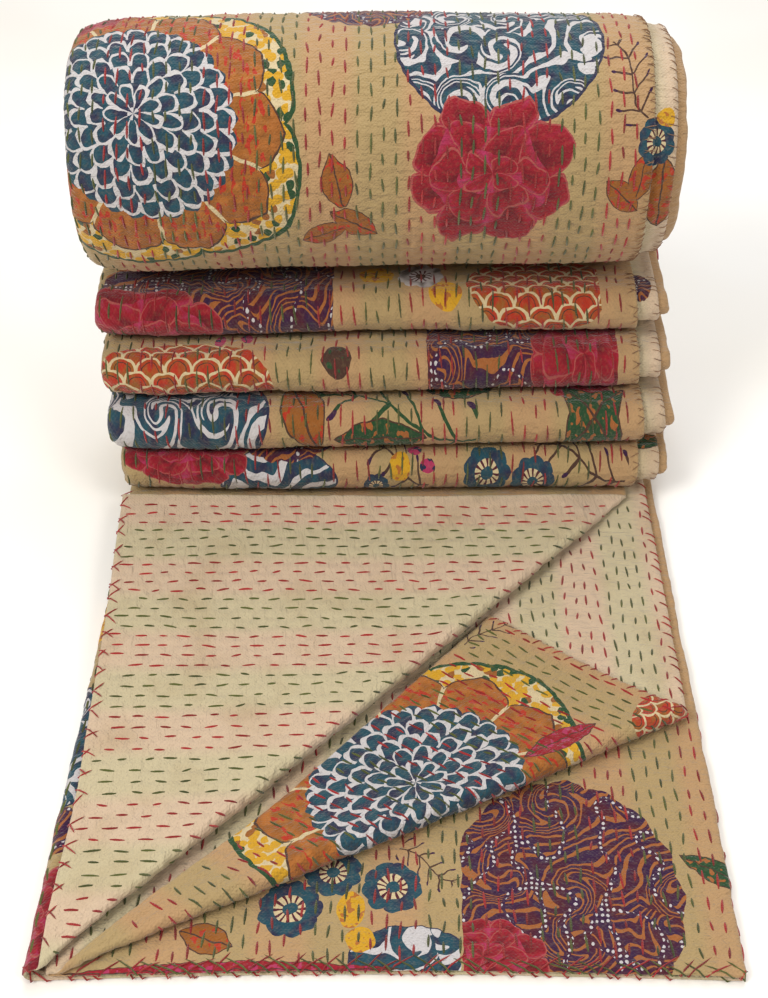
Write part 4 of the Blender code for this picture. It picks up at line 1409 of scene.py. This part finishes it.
def spot(tree, at, flat, fill, marks):
    """A round blot of one dye with some marks of another."""
    radius = add_node(tree, "VectorMath:LENGTH", at)
    blots = add_node(tree, "TexNoise", flat, 1 / 4, 1.0, noise_dimensions="2D")
    blots = add_node(tree, "Math:GREATER_THAN", blots, 0.6)
    return painted(tree, fill, (blots, marks)), add_node(tree, "Math:LESS_THAN", radius, 1.0)


# Painted in this order, so that the later ones cover the earlier ones
MOTIFS = {
    "branch": partial(branch, stem="dark_brown", thickness=0.035),
    "vine": partial(branch, stem="green", thickness=0.03),
    "waves": waves,
    "dots": dotted_swirl,
    "medallion": medallion,
    "fan": partial(fan, wide=13.0, high=7.5),
    "broad fan": partial(fan, wide=19.0, high=5.6),  # the pleats' noses stretch it along the cloth
    "peony": peony,
    "brown leaf": partial(leaf, fill="brown", marks="red"),
    "green leaf": partial(leaf, fill="green", marks="tan"),
    "dark leaf": partial(leaf, fill="dark_brown", marks="green"),
    "petal": partial(leaf, fill="crimson", marks="magenta"),
    "daisy": partial(daisy, petals="teal", run="navy", rays="cream", eye="teal"),
    "rosette": partial(daisy, petals="white", run="grey", rays="white", eye="dark_brown"),
    "yellow": partial(spot, fill="yellow", marks="orange"),
    "bud": partial(spot, fill="magenta", marks="navy"),
}


def new_material(name, roughness, sheen=0.0):
    """A material with a Principled shader; returns it, its node tree and the shader."""
    material = bpy.data.materials.new(name)
    material.use_nodes = True
    shader = material.node_tree.nodes["Principled BSDF"]
    shader.inputs["Roughness"].default_value = roughness
    shader.inputs["Sheen Weight"].default_value = sheen
    shader.inputs["Specular IOR Level"].default_value = 0.25
    return material, material.node_tree, shader


def floor_material():
    """Matt white studio paper."""
    material, tree, shader = new_material("white_studio_paper", 0.9)
    place = add_node(tree, "TexCoord", out=3)
    grain = add_node(tree, "TexNoise", place, 3.0)
    colour = painted(tree, "paper", (add_node(tree, "MapRange", grain, 0.3, 2.0), "cream"))
    tree.links.new(colour, shader.inputs["Base Color"])
    return material


def thread_material(colour):
    """Soft six-strand cotton thread: matt and a little fuzzy. Each stitch has its own depth of dye, and the
    strands twist across it."""
    material, tree, shader = new_material("cotton_thread_" + colour, 0.8, 0.3)
    number, share, _ = add_node(tree, "SeparateXYZ", add_node(tree, "UVMap", uv_map=CLOTH_MAP), out=None)
    number = add_node(tree, "Math:FLOOR", add_node(tree, "Math:ADD", number, 0.5))
    depth = add_node(tree, "TexWhiteNoise", number, noise_dimensions="1D")
    dye = painted(tree, "thread_" + colour, (depth, "thread_dark_" + colour))
    tree.links.new(dye, shader.inputs["Base Color"])
    strands = add_node(tree, "Math:SINE", add_node(tree, "Math:MULTIPLY", share, 60.0))
    tree.links.new(add_node(tree, "Bump", 0.5, 0.2 * MM, None, strands), shader.inputs["Normal"])
    return material


def cotton_material(name, motifs, side):
    """Plain-woven cotton: undyed, a little pinkish along the red rows and greenish along the green ones,
    with the printed motifs over it. It is matt, with soft creases across the rows of stitches. The real
    threads are about 0.4 mm apart, too fine to show, and the weave is drawn three times as coarse."""
    material, tree, shader = new_material(name, 0.85, 0.25)
    cloth = bpy.context.scene.quilt_cloth
    flat = add_node(tree, "VectorMath:SCALE", add_node(tree, "UVMap", uv_map=CLOTH_MAP), 1 / MM)
    u, v, _ = add_node(tree, "SeparateXYZ", flat, out=None)
    band = 2 * ROWS_OF_ONE_COLOUR * cloth.row_pitch / MM
    tone = add_node(tree, "Math:SINE", add_node(tree, "Math:MULTIPLY", u, math.tau / band))
    soil = add_node(tree, "TexNoise", flat, 1 / 40, 3.0, noise_dimensions="2D")
    colour = painted(
        tree, side + "_greenish",
        (add_node(tree, "MapRange", tone, -0.5, 0.5), side + "_pinkish"),
        (add_node(tree, "MapRange", soil, 0.5, 1.3), "soiled"),
    )
    jitter = add_node(tree, "TexNoise", flat, 1 / 9, 1.0, out=1, noise_dimensions="2D")
    drawn = add_node(tree, "VectorMath:MULTIPLY_ADD", jitter, (DRAWN_WOBBLE, DRAWN_WOBBLE, 0), flat)
    for kind, draw in MOTIFS.items():
        places = [row[1:] for row in motifs if row[0] == kind]
        if not places:
            continue
        at = nearest_place(tree, drawn, places)
        x, _, cut = add_node(tree, "SeparateXYZ", at, out=None)
        print_colour, mask = draw(tree, at, drawn)
        kept = add_node(tree, "Math:LESS_THAN", x, add_node(tree, "Math:MULTIPLY", cut, 100.0))
        colour = painted(tree, colour, (add_node(tree, "Math:MULTIPLY", mask, kept), print_colour))
    fade = add_node(tree, "TexNoise", flat, 1 / 2.2, 2.0, noise_dimensions="2D")
    fade = add_node(tree, "MapRange", fade, 0.5, 3.0)
    tree.links.new(painted(tree, colour, (fade, side + "_greenish")), shader.inputs["Base Color"])
    tree.links.new(add_node(tree, "MapRange", soil, 0.3, 0.7, 0.8, 0.92), shader.inputs["Roughness"])
    warp = add_node(tree, "Math:SINE", add_node(tree, "Math:MULTIPLY", u, math.tau / WEAVE_PITCH))
    weft = add_node(tree, "Math:SINE", add_node(tree, "Math:MULTIPLY", v, math.tau / WEAVE_PITCH))
    weave = add_node(tree, "Math:MULTIPLY", warp, weft)
    across = add_node(tree, "VectorMath:MULTIPLY", flat, (1 / 11, 1 / 4, 0))
    creases = add_node(tree, "TexNoise", across, 1.0, 3.0, 0.6, noise_dimensions="2D")
    height = add_node(tree, "Math:MULTIPLY_ADD", creases, 20.0, weave)
    tree.links.new(add_node(tree, "Bump", 1.0, 0.12 * MM, None, height), shader.inputs["Normal"])
    return material


# --- The add-on ---------------------------------------------------------------------------------------


class QuiltCloth(bpy.types.PropertyGroup):
    """Sizes of the quilting."""

    row_pitch: FloatProperty(
        name="Row pitch", description="From one row of running stitch to the next",
        default=7.8 * MM, unit="LENGTH",
    )
    pucker_depth: FloatProperty(
        name="Pucker depth", description="How deep a row of stitches pulls each side",
        default=0.75 * MM, unit="LENGTH",
    )
    stitch_pitch: FloatProperty(
        name="Stitch pitch", description="From one stitch's start to the next one's",
        default=14.6 * MM, unit="LENGTH",
    )
    stitch_length: FloatProperty(
        name="Stitch length", description="Of a stitch where it lies on the cloth",
        default=9.6 * MM, unit="LENGTH",
    )
    thread_width: FloatProperty(
        name="Thread width", description="Of the soft cotton thread", default=1.8 * MM, unit="LENGTH"
    )


class QuiltDyes(bpy.types.PropertyGroup):
    """The colours of the cloth, its print and its threads."""

    __annotations__ = {
        name: FloatVectorProperty(
            name=name.replace("_", " ").capitalize(), description=where, subtype="COLOR",
            default=linear(colour),
        )
        for name, colour, where in DYES
    }


CLASSES = (
    QuiltCloth, QuiltDyes, QUILT_OT_stage, QUILT_OT_front, QUILT_OT_pleats, QUILT_OT_roll,
    QUILT_OT_running_stitches, QUILT_OT_hem_stitches,
)


class QUILT_PT_sidebar(bpy.types.Panel):
    """The quilt's sizes, and a button for each group of its pieces."""

    bl_label = "Quilt"
    bl_idname = "QUILT_PT_sidebar"
    bl_space_type = "VIEW_3D"
    bl_region_type = "UI"
    bl_category = "Quilt"

    def draw(self, context):
        for group in (context.scene.quilt_cloth, context.scene.quilt_dyes):
            for name in group.bl_rna.properties.keys():
                if name not in ("name", "rna_type"):
                    self.layout.prop(group, name)
        for operator in CLASSES:
            if issubclass(operator, bpy.types.Operator):
                self.layout.operator(operator.bl_idname)


def register():
    for one in (*CLASSES, QUILT_PT_sidebar):
        bpy.utils.register_class(one)
    bpy.types.Scene.quilt_cloth = PointerProperty(type=QuiltCloth)
    bpy.types.Scene.quilt_dyes = PointerProperty(type=QuiltDyes)


def unregister():
    del bpy.types.Scene.quilt_cloth, bpy.types.Scene.quilt_dyes
    for one in reversed((*CLASSES, QUILT_PT_sidebar)):
        bpy.utils.unregister_class(one)


def main():
    register()
    bpy.ops.quilt.stage()
    bpy.ops.quilt.front()
    bpy.ops.quilt.pleats()
    bpy.ops.quilt.roll()
    bpy.ops.quilt.running_stitches()
    bpy.ops.quilt.hem_stitches()


if __name__ == "__main__":
    main()
